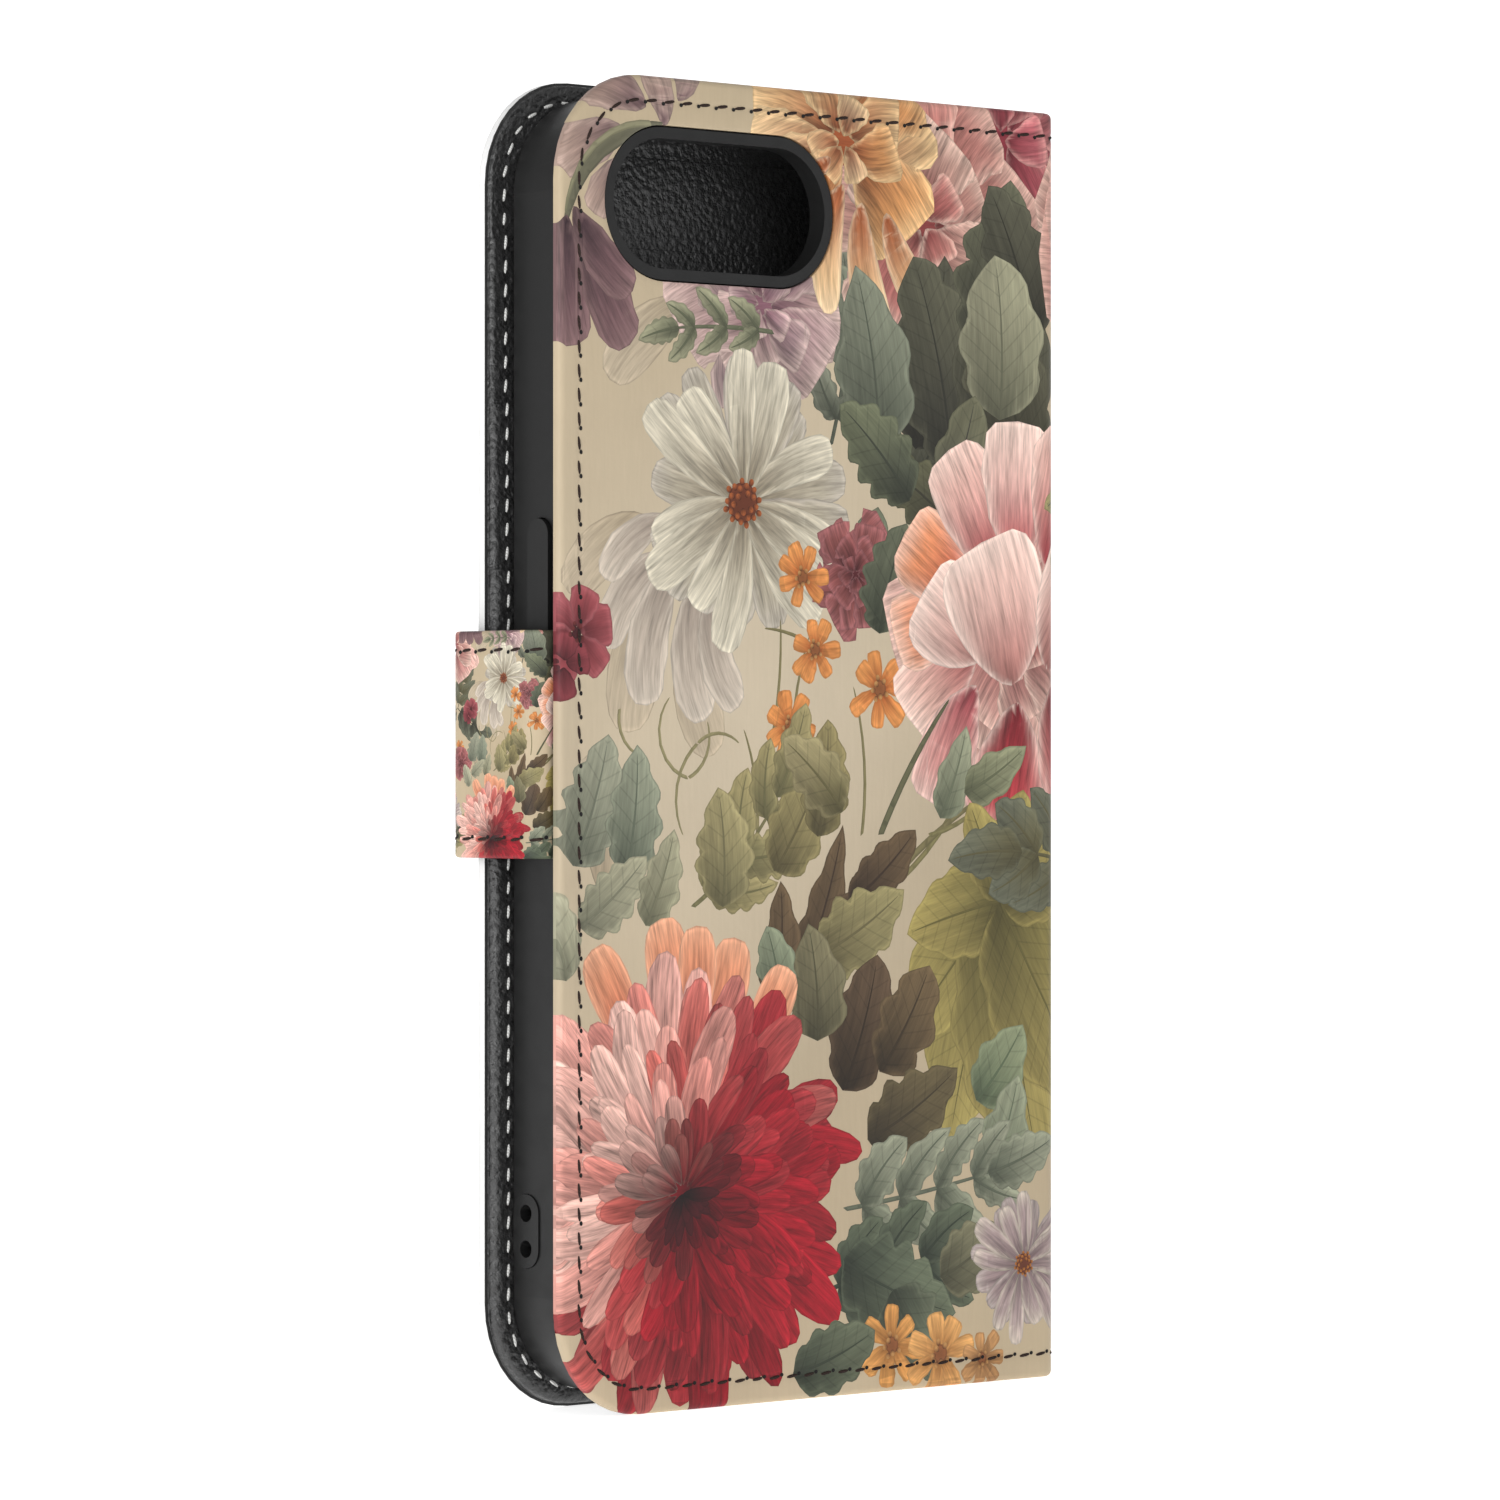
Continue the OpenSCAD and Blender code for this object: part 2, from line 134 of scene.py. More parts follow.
def sweep():
    """A paper sweep: a floor whose far edge is pulled up behind the case and rounded off."""
    side, wall, bend_r = 8, 5, 2
    bpy.ops.object.select_all(action="DESELECT")
    bpy.ops.mesh.primitive_plane_add(size=side, location=(0, 0, 0))
    paper = bpy.context.object
    paper.name = "floor"
    far = side/2 - 0.1
    bpy.ops.object.mode_set(mode="EDIT")
    pick_edges(paper, lambda a, b: min(a.y, b.y) > far)
    bpy.ops.mesh.extrude_region_move(TRANSFORM_OT_translate={"value": (0, 0, wall)})
    pick_edges(paper, lambda a, b: min(a.y, b.y) > far and max(a.z, b.z) < 0.1)
    bpy.ops.mesh.bevel(offset=bend_r, segments=16)
    bpy.ops.object.mode_set(mode="OBJECT")
    paper.data.transform(Matrix.Rotation(-view_turn, 4, "Z"))
    bpy.ops.object.shade_smooth_by_angle(angle=math.radians(40))
    return paper

floor = sweep()

# %% White paper and a white world
paper_glow, world_glow = 0.75, 0.40
paper_white = bpy.data.materials.new("floor_white")
paper_white.use_nodes = True
paper_sockets = paper_white.node_tree.nodes["Principled BSDF"].inputs
paper_sockets["Base Color"].default_value = (0.9, 0.9, 0.9, 1)
paper_sockets["Roughness"].default_value = 0.9
paper_sockets["Emission Color"].default_value = (1, 1, 1, 1)
paper_sockets["Emission Strength"].default_value = paper_glow
floor.data.materials.append(paper_white)
world = bpy.context.scene.world or bpy.data.worlds.new("world")
bpy.context.scene.world = world
world.use_nodes = True
sky = world.node_tree.nodes["Background"].inputs
sky["Color"].default_value = (1, 1, 1, 1)
sky["Strength"].default_value = world_glow

def soft_light(name, turn, rise, distance, size, power):
    """A square light that faces the case from turn degrees round and rise degrees up."""
    data = bpy.data.lights.new(name, "AREA")
    data.size = size
    data.energy = power
    light = bpy.data.objects.new(name, data)
    bpy.context.scene.collection.objects.link(light)
    a, e = math.radians(turn), math.radians(rise)
    away = Vector((math.sin(a)*math.cos(e), -math.cos(a)*math.cos(e), math.sin(e)))
    light.location = middle*MM + away*distance
    light.rotation_euler = away.to_track_quat("Z", "Y").to_euler()

soft_light("key", turn=-20, rise=30, distance=0.9, size=0.7, power=1.7)
soft_light("side", turn=-75, rise=10, distance=0.6, size=0.25, power=1.3)

# %% [markdown]
# ## The folded sheet
# Skin and linings are flat sheets, so each is drawn flat and then folded: along the back, round
# the first crease, across the spine, round the second crease and along the front. One function
# says where a point of the flat sheet lies once folded, at any depth under the outer face.

# %% Fold a flat sheet round the spine
def fold(s, depth):
    """x and y of a point s along the sheet and depth under its outer face."""
    on_front = s > half_sheet
    a = np.where(on_front, sheet_w - s, s)
    turn = np.clip((a - flat)/bend, 0, math.pi/2)
    x = left + np.minimum(a, flat) + (bend - depth)*np.sin(turn)
    y = back + bend - (bend - depth)*np.cos(turn) + np.maximum(a - flat - arc, 0)
    return x, np.where(on_front, back + front - y, y)

def edge_in(s, z, w, h, r):
    """Distance in from the edge of a w by h sheet whose corners have radius r."""
    qx, qz = np.abs(s - w/2) - (w/2 - r), np.abs(z - h/2) - (h/2 - r)
    return r - np.hypot(np.maximum(qx, 0), np.maximum(qz, 0)) - np.minimum(np.maximum(qx, qz), 0)

def rounded_loop(x0, z0, x1, z1, r_left, r_right, steps=10):
    """Corner points of a rectangle, anticlockwise, with its left and right corners rounded."""
    points = []
    corners = [(x1, z0, r_right, -90), (x1, z1, r_right, 0), (x0, z1, r_left, 90), (x0, z0, r_left, 180)]
    for cx, cz, r, start in corners:
        if r <= 0:
            points.append((cx, cz))
            continue
        mx = cx - r if cx == x1 else cx + r
        mz = cz - r if cz == z1 else cz + r
        for k in range(steps + 1):
            a = math.radians(start + 90*k/steps)
            points.append((mx + r*math.cos(a), mz + r*math.sin(a)))
    return points

# %% [markdown]
# ## The printed flowers
# Every petal and leaf is one shape: a midrib bent to an arc, with a half width that follows a
# simple curve from base to tip. The outline is cut into the skin's mesh, so each petal has a
# crisp edge and the faces inside it can carry its own colours and its own lengthwise streaks.

# %% A petal, leaf or stem
def colour(code):
    """A colour code as linear red, green and blue."""
    parts = np.array([int(code[i:i + 2], 16)/255 for i in (0, 2, 4)])
    return np.where(parts <= 0.04045, parts/12.92, ((parts + 0.055)/1.055)**2.4)

def mix(a, b, share):
    return a*(1 - share) + b*share

def smooth(low, high, x):
    t = np.clip((x - low)/(high - low), 0, 1)
    return t*t*(3 - 2*t)

class Shape:
    """One painted petal, leaf or stem on the flat sheet."""
    def __init__(self, at, heading, length, width, curl=0.0, form=(0.7, 0.4), inner="ffffff",
                 outer="ffffff", rim=None, ruffle=0.0, lobes=0, lobe=0.0, streak=0.5, veins=0.0,
                 shade=0.12, dark=0.35, seed=0.0, scale=1.0):
        self.at, self.heading = np.array(at, float), heading
        self.length, self.width = length, width
        self.curl = (curl if abs(curl) > 1e-3 else 1e-3)/length
        self.form, self.ruffle, self.lobes, self.lobe = form, ruffle, lobes, lobe
        self.inner = colour(inner) if isinstance(inner, str) else inner
        self.outer = colour(outer) if isinstance(outer, str) else outer
        self.rim = colour(rim) if isinstance(rim, str) else rim
        self.streak, self.veins, self.shade, self.dark = streak, veins, shade, dark
        self.seed, self.scale = seed, scale

    def half_width(self, u, side):
        a, b = self.form
        peak = a/(a + b)
        w = (np.clip(u, 1e-4, 1)/peak)**a*(np.clip(1 - u, 0, 1)/(1 - peak))**b
        phase = self.seed*7.3 + np.where(side > 0, 0.0, 2.1)
        wave = np.sin(2*math.pi*(3.1*u) + phase) + 0.6*np.sin(2*math.pi*7.3*u + 1.7*phase)
        w = w*(1 + self.ruffle*wave)
        if self.lobes:
            w = w*(1 - self.lobe*(1 - np.abs(np.sin(math.pi*self.lobes*(u + 0.03*side)))))
        return self.width/2*w + 0.02*self.scale

    def point(self, u, d):
        """The flat place of a point u of the way along the midrib and d to its left."""
        turn = self.heading + self.curl*self.length*u
        r = 1/self.curl
        start = np.array([-math.sin(self.heading), math.cos(self.heading)])
        centre = self.at + r*start
        return centre - (r - d)[..., None]*np.stack([-np.sin(turn), np.cos(turn)], -1)

    def place(self, q):
        """The inverse: how far along, from 0 to 1, and how far to the left each point q is."""
        r = 1/self.curl
        centre = self.at + r*np.array([-math.sin(self.heading), math.cos(self.heading)])
        v = (centre - q)*np.sign(r)
        reach = np.hypot(v[:, 0], v[:, 1])
        turn = np.arctan2(-v[:, 0], v[:, 1]) - self.heading
        turn = (turn + math.pi) % (2*math.pi) - math.pi
        return turn/(self.curl*self.length), np.sign(r)*(abs(r) - reach)

    def holds(self, q):
        """Which of the points lie in the shape, with a little slack for its straight sides."""
        u, d = self.place(q)
        w = self.half_width(np.clip(u, 0, 1), np.where(d >= 0, 1, -1))
        return (np.abs(d) < w + 0.25*self.scale) & (u > -0.04) & (u < 1.04)

    def outline(self):
        n = max(10, 5*self.lobes)
        u = (1 - np.cos(np.linspace(0, math.pi, n + 1)))/2
        if self.lobes:
            u = np.linspace(0, 1, n + 1)
        up = self.point(u, self.half_width(u, 1))
        down = self.point(u[1:-1], -self.half_width(u[1:-1], -1))
        return np.concatenate([down, up[::-1]])

    def inside_points(self, spacing):
        """Points spread inside the shape, for its gradients to run over."""
        rows = max(2, int(self.length/spacing))
        out = []
        for k in range(rows):
            u = np.array([(k + 0.5)/rows])
            w = self.half_width(u, 1)[0]
            cols = max(1, int(w/spacing))
            ts = [j/(cols + 0.35) for j in range(-cols, cols + 1)] if w > 0.35*spacing else [0]
            for t in ts:
                out.append(self.point(u, np.array([t*w]))[0])
        return out

    def paint(self, q):
        """Colour, stroke and form at each point q of the flat sheet."""
        u, d = self.place(q)
        u = np.clip(u, 0, 1)
        side = np.where(d >= 0, 1, -1)
        w = np.maximum(self.half_width(u, side), 1e-3)
        t = np.clip(np.abs(d)/w, 0, 1)
        c = mix(self.inner, self.outer, smooth(0.0, 0.85, u)[:, None])
        lit = math.sin(self.heading + self.curl*self.length/2 - 0.8)
        c = c*(1 + self.shade*(-side*t*lit))[:, None]
        c = c*(1 - self.dark*np.exp(-u/0.24))[:, None]
        if self.rim is not None:
            c = mix(c, self.rim, (0.6*np.maximum(t**4, smooth(0.7, 1.0, u)*0.8))[:, None])
        stroke = np.stack([d/self.scale, u*self.length/self.scale, np.full(len(u), self.seed)], -1)
        edge = np.minimum(w*(1 - t), (1 - u)*self.length)/self.scale
        form = np.stack([np.full(len(u), self.streak), np.full(len(u), self.veins), edge], -1)
        return c, stroke, form

# %% [markdown]
# Flowers and leaves are groups of those shapes. Each group is drawn from its farthest petal to
# its nearest, as a painter would, and a seeded random generator keeps petals from matching.

# %% Groups of petals and leaves
rng = random.Random(11)
art = []

def near(value, spread):
    return value*(1 + rng.uniform(-spread, spread))

def add(x, z, heading, length, width, **look):
    """One shape, its heading in degrees anticlockwise from the sheet's long axis."""
    art.append(Shape((x, z), math.radians(heading), length, width, seed=rng.uniform(0, 90), **look))

def ring(x, z, n, radius, length, width, inner, outer, start=0.0, curl=0.25, turn=0.0, **look):
    """n petals round a centre, with their bases radius away from it."""
    for k in range(n):
        a = start + 360*(k + rng.uniform(-0.22, 0.22))/n
        add(x + radius*math.cos(math.radians(a)), z + radius*math.sin(math.radians(a)),
            a + turn + rng.uniform(-7, 7), near(length, 0.1), near(width, 0.12),
            inner=mix(colour(inner), colour(outer), rng.uniform(0, 0.2)),
            outer=mix(colour(outer), colour(inner), rng.uniform(0, 0.25)),
            curl=rng.uniform(-curl, curl), **look)

def dots(x, z, n, radius, size, inner, outer):
    """A seed head: small round florets on a spiral, over a dark disc."""
    add(x - radius, z, 0, 2*radius, 2*radius, form=(0.5, 0.5), inner=inner, outer=inner, streak=0.1, dark=0)
    for k in range(n, 0, -1):
        r, a = radius*math.sqrt(k/n), math.radians(137.5*k)
        add(x + r*math.cos(a), z + r*math.sin(a), math.degrees(a), size, size*0.8,
            form=(0.5, 0.5), inner=inner, outer=outer, streak=0.1, dark=0.5)

def stem(x, z, heading, length, curl, width=0.55, code="6a6549"):
    add(x, z, heading, length, width, curl=curl, form=(0.06, 0.35), inner=code, outer=code,
        streak=0.2, shade=0.25, dark=0.0)

def leaf(x, z, heading, length, width, inner, outer, curl=0.3, **look):
    """A lobed leaf, dark along its midrib and on the side away from the light."""
    facts = dict(form=(0.55, rng.uniform(0.65, 0.95)), streak=0.55, veins=1.0, shade=0.45, dark=0.5,
                 rim=outer, lobes=rng.choice((3, 4, 4, 5)), lobe=rng.uniform(0.2, 0.34))
    width *= rng.uniform(0.9, 1.2)
    facts.update(look)
    add(x, z, heading, length, width, curl=curl, inner=inner, outer=outer, **facts)
    add(x, z, heading, length*0.93, 0.34, curl=curl*0.93, form=(0.05, 0.6), inner=inner,
        outer=inner, streak=0.0, dark=0.3)

def branch(x, z, heading, length, pairs, size, inner, outer, curl=0.3, spread=48, **look):
    """A stalk with leaflets in pairs and one at its tip."""
    stalk = Shape((x, z), math.radians(heading), length, 0.5, curl=curl)
    stem(x, z, heading, length, curl, code=inner)
    for k in range(pairs):
        u = (k + 0.5)/(pairs + 0.2)
        p = stalk.point(np.array([u]), np.array([0.0]))[0]
        lean = heading + math.degrees(curl)*u
        big = size*(1.05 - 0.35*abs(u - 0.4))
        for side in (-1, 1):
            leaf(p[0], p[1], lean + side*near(spread, 0.15), near(big, 0.08), near(big*0.5, 0.1),
                 inner, outer, curl=-side*0.45, **look)
    p = stalk.point(np.array([0.93]), np.array([0.0]))[0]
    leaf(p[0], p[1], heading + math.degrees(curl), size*1.1, size*0.55, inner, outer, **look)

def leaves(*rows, **look):
    """Leaves given as x, z, heading, length, width, inner and outer colour."""
    for row in rows:
        leaf(*row, **look)

def petals(spots, share, **look):
    """Loose petals at x, z, heading and length, each as wide as a share of its length."""
    for x, z, heading, length in spots:
        add(x, z, heading, length, length*share, **look)

def stems(*rows, width, code):
    """Thin stalks given as x, z, heading, length and curl."""
    for row in rows:
        stem(*row, width, code)

# %% Kinds of flower
def daisy(x, z, r, petals=12, light="bab29f", shadow="837865", heart="a4592f"):
    """Long loose petals of uneven length, blunt at the tip, round a small orange head."""
    for k in range(petals):
        a = 360*(k + rng.uniform(-0.25, 0.25))/petals + 14
        add(x, z, a, r*rng.uniform(0.78, 0.98), r*rng.uniform(0.25, 0.33), curl=rng.uniform(-0.4, 0.4),
            form=(0.8, 0.34), inner=shadow, outer=mix(colour(light), colour(shadow), 0.45), rim="b5ada4",
            streak=1.0, dark=0.3, ruffle=0.03)
    for k in range(petals - 2):
        a = 360*(k + rng.uniform(-0.3, 0.3))/(petals - 2)
        add(x, z, a, r*rng.uniform(0.8, 1.06), r*rng.uniform(0.24, 0.34), curl=rng.uniform(-0.5, 0.5),
            form=(0.85, 0.3), inner=shadow, outer=light, rim="d2cab6", streak=1.0, dark=0.25,
            ruffle=0.03, shade=0.16)
    dots(x, z, 26, r*0.13, r*0.05, "5f2f1c", heart)

def blossom(x, z, r, inner="9a4a1e", outer="cf8a4c", heart="7c4a28", petals=7):
    """A small flat flower with narrow notched petals."""
    for k in range(petals):
        a = 360*(k + rng.uniform(-0.2, 0.2))/petals
        add(x, z, a, near(r, 0.12), near(r*0.5, 0.15), curl=rng.uniform(-0.3, 0.3), form=(0.8, 0.25),
            inner=inner, outer=mix(colour(outer), colour(inner), rng.uniform(0, 0.35)), rim=outer,
            streak=0.8, dark=0.5, ruffle=0.06)
    dots(x, z, 7, r*0.2, r*0.16, heart, "b98a52")

def peony(x, z, r, inner, outer, rim, rings=3, first=7, ruffle=0.05, spare=()):
    """Broad ruffled petals, the outer ones first, each ring shorter and deeper in colour."""
    add(x - r*0.2, z, 0, r*0.4, r*0.4, form=(0.5, 0.5), inner=inner, outer=inner, dark=0)
    for k in range(rings):
        share = k/(rings - 1)
        count = max(4, round(first*(1 - 0.45*share)))
        reach = r*(1 - 0.62*share)
        tone = mix(colour(outer), colour(inner), share*0.5)
        for j in range(count):
            a = 360*(j + rng.uniform(-0.3, 0.3))/count + 31*k
            t = mix(tone, colour(rng.choice(spare)), rng.uniform(0.1, 0.7)) if spare else tone
            t = t*rng.uniform(0.82, 1.12)
            b = math.radians(a)
            start = reach*0.12
            add(x + start*math.cos(b), z + start*math.sin(b), a + rng.uniform(-24, 24),
                near(reach*0.9, 0.2), near(reach*0.9, 0.22), curl=rng.uniform(-0.9, 0.9),
                form=(0.8, 0.2), inner=mix(t, colour(inner), 0.95), outer=t, rim=rim,
                ruffle=ruffle, lobes=rng.choice((0, 0, 2)), lobe=0.14, streak=1.2, dark=0.62, shade=0.42)

def dahlia(x, z, r, light="cfa598", warm="b8574c", deep="8a0f1d", lit_from=140, rings=9, turn=12):
    """Narrow pointed petals in rings, pale where the light falls and deep red away from it."""
    add(x - r*0.2, z, 0, r*0.4, r*0.4, form=(0.5, 0.5), inner=deep, outer="1c0508", dark=0)
    for k in range(rings):
        share = k/(rings - 1)
        count = int(29 - 16*share)
        reach = r*(1 - 0.74*share)
        for j in range(count):
            a = 360*(j + rng.uniform(-0.35, 0.35))/count + 17*k
            b = math.radians(a)
            toward = 0.5 + 0.5*math.cos(math.radians(a - lit_from)) + rng.uniform(-0.2, 0.2)
            toward = min(max(toward, 0), 1)
            tone = mix(colour(deep), colour(warm), smooth(0.4, 0.75, toward))
            tone = mix(tone, colour(light), smooth(0.65, 1.0, toward))
            tone = mix(tone, colour("3a060c"), 0.8*smooth(0.55, 1.0, share))*rng.uniform(0.7, 1.15)
            pale = mix(tone*1.15, colour("dfb3a6"), (0.6*toward**2)*(1 - 0.8*share))
            start = reach*0.14
            add(x + start*math.cos(b), z + start*math.sin(b), a + rng.uniform(-9, 9) + turn,
                near(reach*0.88, 0.13), near(reach*0.17 + 0.9, 0.2), curl=rng.uniform(-0.7, 0.3),
                form=(0.85, 0.45), inner=mix(tone, colour(deep), 0.8)*0.6, outer=mix(tone, pale, 0.35),
                rim=pale, streak=1.3, dark=0.8, shade=0.4, ruffle=0.03)
    for k in range(14):
        a = rng.uniform(-130, 60)
        add(x, z, a, r*rng.uniform(0.1, 0.24), r*0.055, form=(0.7, 0.6), inner="140405", outer="3c0a10",
            streak=0.6, dark=0.3)

# %% [markdown]
# The print runs as one picture over the back, the spine and the front. Large flowers sit low on
# the opening side and high by the spine, with small ones, leaves and thin stalks between them.

# %% The picture on the back panel
def faint_growth():
    """Pale leaves and petals far behind the white daisy."""
    petals(((20, 128, 200, 16), (16, 96, 235, 19), (13, 103, 200, 15), (20, 92, 265, 17), (6, 60, 80, 16)),
           0.42, curl=0.6, form=(0.7, 0.4), inner="a2937b", outer="b3a48d", streak=0.5, dark=0.1)
    petals(((16, 99, 205, 15), (18, 98, 228, 18), (21, 96, 248, 17), (23, 95, 262, 15), (17, 103, 190, 13)),
           0.36, curl=0.9, form=(0.75, 0.35), inner="93867a", outer="b5a899", rim="c4b9aa",
           streak=0.7, dark=0.2, ruffle=0.05)

def top_foliage():
    """Grey-green leaves below the top flowers."""
    branch(60, 112, 62, 20, 3, 15, "2f2d24", "4d4c3d", curl=0.4)
    branch(64, 126, 78, 20, 3, 14, "33322a", "565644", curl=-0.3)
    branch(56, 104, 100, 16, 2, 13, "35352b", "5a5a49")
    leaf(52, 113, 100, 19, 10, "4f5142", "6d6f5c")
    leaf(58, 118, 60, 17, 11, "3b3b2f", "5c5c49")
    leaf(66, 120, 75, 23, 14, "5b5b49", "85836c", curl=0.15)
    leaf(62, 103, 140, 14, 8, "3a382c", "57563f")
    branch(42, 112, 72, 15, 2, 9, "4e5245", "727464", curl=0.25)
    leaf(47, 119, 95, 15, 8, "53584a", "767a68")
    leaf(37, 113, 150, 9, 5, "6b6c58", "8d8b74")

def top_flowers():
    """Pink, gold and mauve flowers along the top edge, cut off by it and by the window."""
    petals(((10, 147, 190, 11), (13, 150, 150, 11), (16, 148, 95, 8), (11, 144, 215, 9), (18, 151, 60, 9)),
           0.55, curl=0.5, form=(0.65, 0.3), inner="6f5658", outer="988075", rim="ab968a",
           ruffle=0.08, streak=0.8, dark=0.3)
    peony(31, 128, 12, "7c5560", "a98c86", "c2aca2", rings=3, first=8, spare=("8f7a80", "b6a09a"))
    branch(33, 125, 175, 16, 3, 6, "62654f", "8b8a70", curl=0.2)
    peony(70, 150, 19, "7e2c36", "b0646a", "cf9c94", rings=3, first=8, spare=("a8525a", "c08a86"))
    peony(57, 139, 17, "7e3837", "b98478", "dcbfae", rings=3, first=8, spare=("a3897c", "a8605c"))
    peony(44, 148, 14, "8f4a28", "c2925c", "dfc394", rings=3, first=7, spare=("c2ac8f", "ad6a3c"))
    petals(((44, 143, 240, 16), (47, 141, 262, 18), (51, 140, 284, 17), (42, 146, 215, 14)), 0.3,
           curl=0.8, form=(0.6, 0.4), inner="a4552c", outer="d8b487", rim="e8d2b0", streak=0.9, dark=0.4)
    stem(16, 147.5, 176, 21, 1.45, 1.9, "5c5a48")
    stem(14, 148.1, 177, 19, 1.5, 0.8, "7d7a60")
    petals(((1, 137, 262, 15), (4, 137, 280, 16), (2, 138, 300, 13), (-1, 136, 240, 14)), 0.42,
           curl=0.5, form=(0.7, 0.35), inner="3d2a30", outer="6b4f52", rim="856a68",
           streak=0.9, dark=0.4, ruffle=0.06)

def spine_side_leaves():
    """Dark growth behind the flowers next to the spine."""
    leaves((56, 112, 70, 24, 13, "2c2a22", "4b4a3c"), (62, 110, 96, 26, 14, "33322a", "525141"),
           (68, 108, 74, 30, 16, "2f2e26", "504f3f"), (74, 110, 100, 28, 15, "383628", "5a5846"),
           (66, 124, 66, 22, 12, "3b3b2f", "5c5c49"), (76, 126, 105, 20, 13, "2f2d24", "4d4c3d"),
           (70, 116, 84, 20, 13, "6b6b56", "8f8d74"), (50, 112, 92, 22, 12, "53584a", "767a68"),
           (55, 106, 128, 16, 10, "3e4236", "62664f"), (60, 104, 60, 16, 9, "43413a", "66654f"))

def middle_flowers():
    """The white daisy, a maroon flower beside it, small orange ones and the tendrils."""
    daisy(28, 105, 18, petals=14)
    leaf(45, 93, 60, 13, 9, "45503f", "666b57")
    peony(46, 97, 6.5, "4d1c20", "864b48", "a2686a", rings=3, first=9, ruffle=0.12)
    leaf(50, 90, 80, 14, 10, "3f4536", "5d614e", curl=-0.3)
    stems((31, 72, 70, 20, 0.4), (36, 72, 96, 18, -0.5), (47, 66, 80, 18, 0.5), (30, 64, 80, 15, 0.6),
          (40, 88, 150, 9, 0.5), width=0.45, code="7d7550")
    add(30.5, 71, 82, 4.5, 1.8, form=(0.6, 0.5), inner="6e6a48", outer="8f8862")
    for x, z, r in ((37.5, 96.5, 4.1), (39.5, 88, 3.9), (50, 83.5, 4.9), (35.5, 79, 4.1)):
        blossom(x, z, r)
    ring(2.5, 89.5, 6, 0.6, 5.2, 4.6, "5a2026", "8d3f44", start=10, form=(0.7, 0.25), rim="a66064",
         ruffle=0.06)
    ring(0.5, 86, 5, 0.4, 3.6, 3.2, "4e1a20", "7c353b", form=(0.7, 0.25), ruffle=0.06)
    dots(2.5, 89.5, 6, 0.7, 0.7, "3c1216", "6b2a2a")
    stems((19.5, 73, 170, 12, -2.2), (19.5, 73, 20, 8, 1.6), (21, 77, 215, 12, 1.5), (21, 77, 40, 7, -1.4),
          (9, 81, 255, 8, 1.8), width=0.42, code="8d8560")

def pink_peony():
    """The large pink flower next to the spine, its outer petals hung round a cupped middle."""
    peony(72, 92, 19, "8e3a3c", "c39088", "e2c6b6", rings=3, first=12, spare=("b18e80", "ad6b61"))
    outer_petals = ((66, 88, 205, 14, 11, "a85a58", "cfa79a"), (64, 92, 185, 12, 10, "a04a42", "d08a68"),
                    (65, 95, 150, 13, 11, "b04a3c", "d98a5e"), (69, 97, 112, 17, 11, "a83a42", "dcb0a4"),
                    (73, 98, 92, 18, 12, "b54a50", "e2beb2"), (78, 98, 72, 18, 12, "a83a42", "d9a89c"),
                    (66, 84, 235, 16, 10, "9a4048", "c98f88"), (73, 82, 262, 17, 13, "7e1c26", "ad3a40"),
                    (79, 84, 285, 17, 13, "8a1f28", "b5484a"))
    for x, z, a, n, w, i, o in outer_petals:
        add(x, z, a, n, w, curl=rng.uniform(-0.4, 0.4), form=(0.7, 0.28), inner=i, outer=o, rim="ecd6c8",
            streak=1.0, dark=0.35, ruffle=0.04, shade=0.25)
    for x, z, a, n, w in ((68, 88, 150, 13, 13), (72, 84, 100, 18, 17), (78, 86, 60, 18, 15)):
        add(x, z, a, n, w, curl=rng.uniform(-0.3, 0.3), form=(0.62, 0.25), inner="b77a72", outer="dcb8ac",
            rim="eedccf", streak=0.8, dark=0.45, shade=0.3)

def middle_foliage():
    """Leaves and stalks across the middle, and the broad yellow-green leaf by the spine."""
    leaf(2, 63, 62, 16, 10, "6d7160", "8d8e7a")
    leaf(10, 62, 75, 15, 9, "646b5a", "868a76")
    leaf(3, 56, 30, 13, 7, "7d7d68", "9b987f")
    leaf(13, 56, 60, 12, 7, "77765e", "97947a")
    leaf(1, 50, 100, 12, 7, "80806a", "a09d85")
    branch(20, 58, 30, 20, 3, 11, "6f6a48", "94895f", curl=0.5)
    leaf(25, 58, 85, 14, 9, "726c4c", "958b63")
    leaf(33, 62, 50, 14, 9, "655c3d", "8f8459")
    leaf(40, 66, 75, 14, 8, "5d5539", "857a52")
    leaf(44, 69, 130, 13, 9, "67603f", "8e8460")
    stem(50, 66, 62, 20, -0.25, 0.9, "5b5a41")
    stem(52, 60, 30, 20, 0.6, 0.7, "77704a")
    stem(46, 55, 48, 26, -0.4, 1.0, "6f6746")
    stem(58, 66, 10, 14, 0.6, 0.6, "77704a")
    leaf(60, 68, 60, 12, 6, "6d735c", "8e9178")
    leaf(64, 71, 20, 12, 6, "66694f", "888a6c")
    for x, z, a, n, w in ((36, 47, 60, 22, 6), (41, 52, 42, 18, 7), (33, 44, 78, 17, 6), (45, 58, 30, 14, 7)):
        leaf(x, z, a, n, w, "3b2c20", "5d4b35", lobes=4)
    leaf(40, 52, 20, 16, 9, "6c6444", "8f865c")
    for a, n in ((250, 30), (222, 22), (278, 33), (190, 16), (300, 30), (70, 14), (110, 13), (20, 16)):
        leaf(70, 58, a, n, n*0.62, "686035", "988a50", curl=0.12, lobes=4, lobe=0.14)
    leaf(66, 34, 40, 12, 9, "5d6a50", "848c6d")
    leaf(68, 24, 60, 14, 8, "66705a", "8b9077")

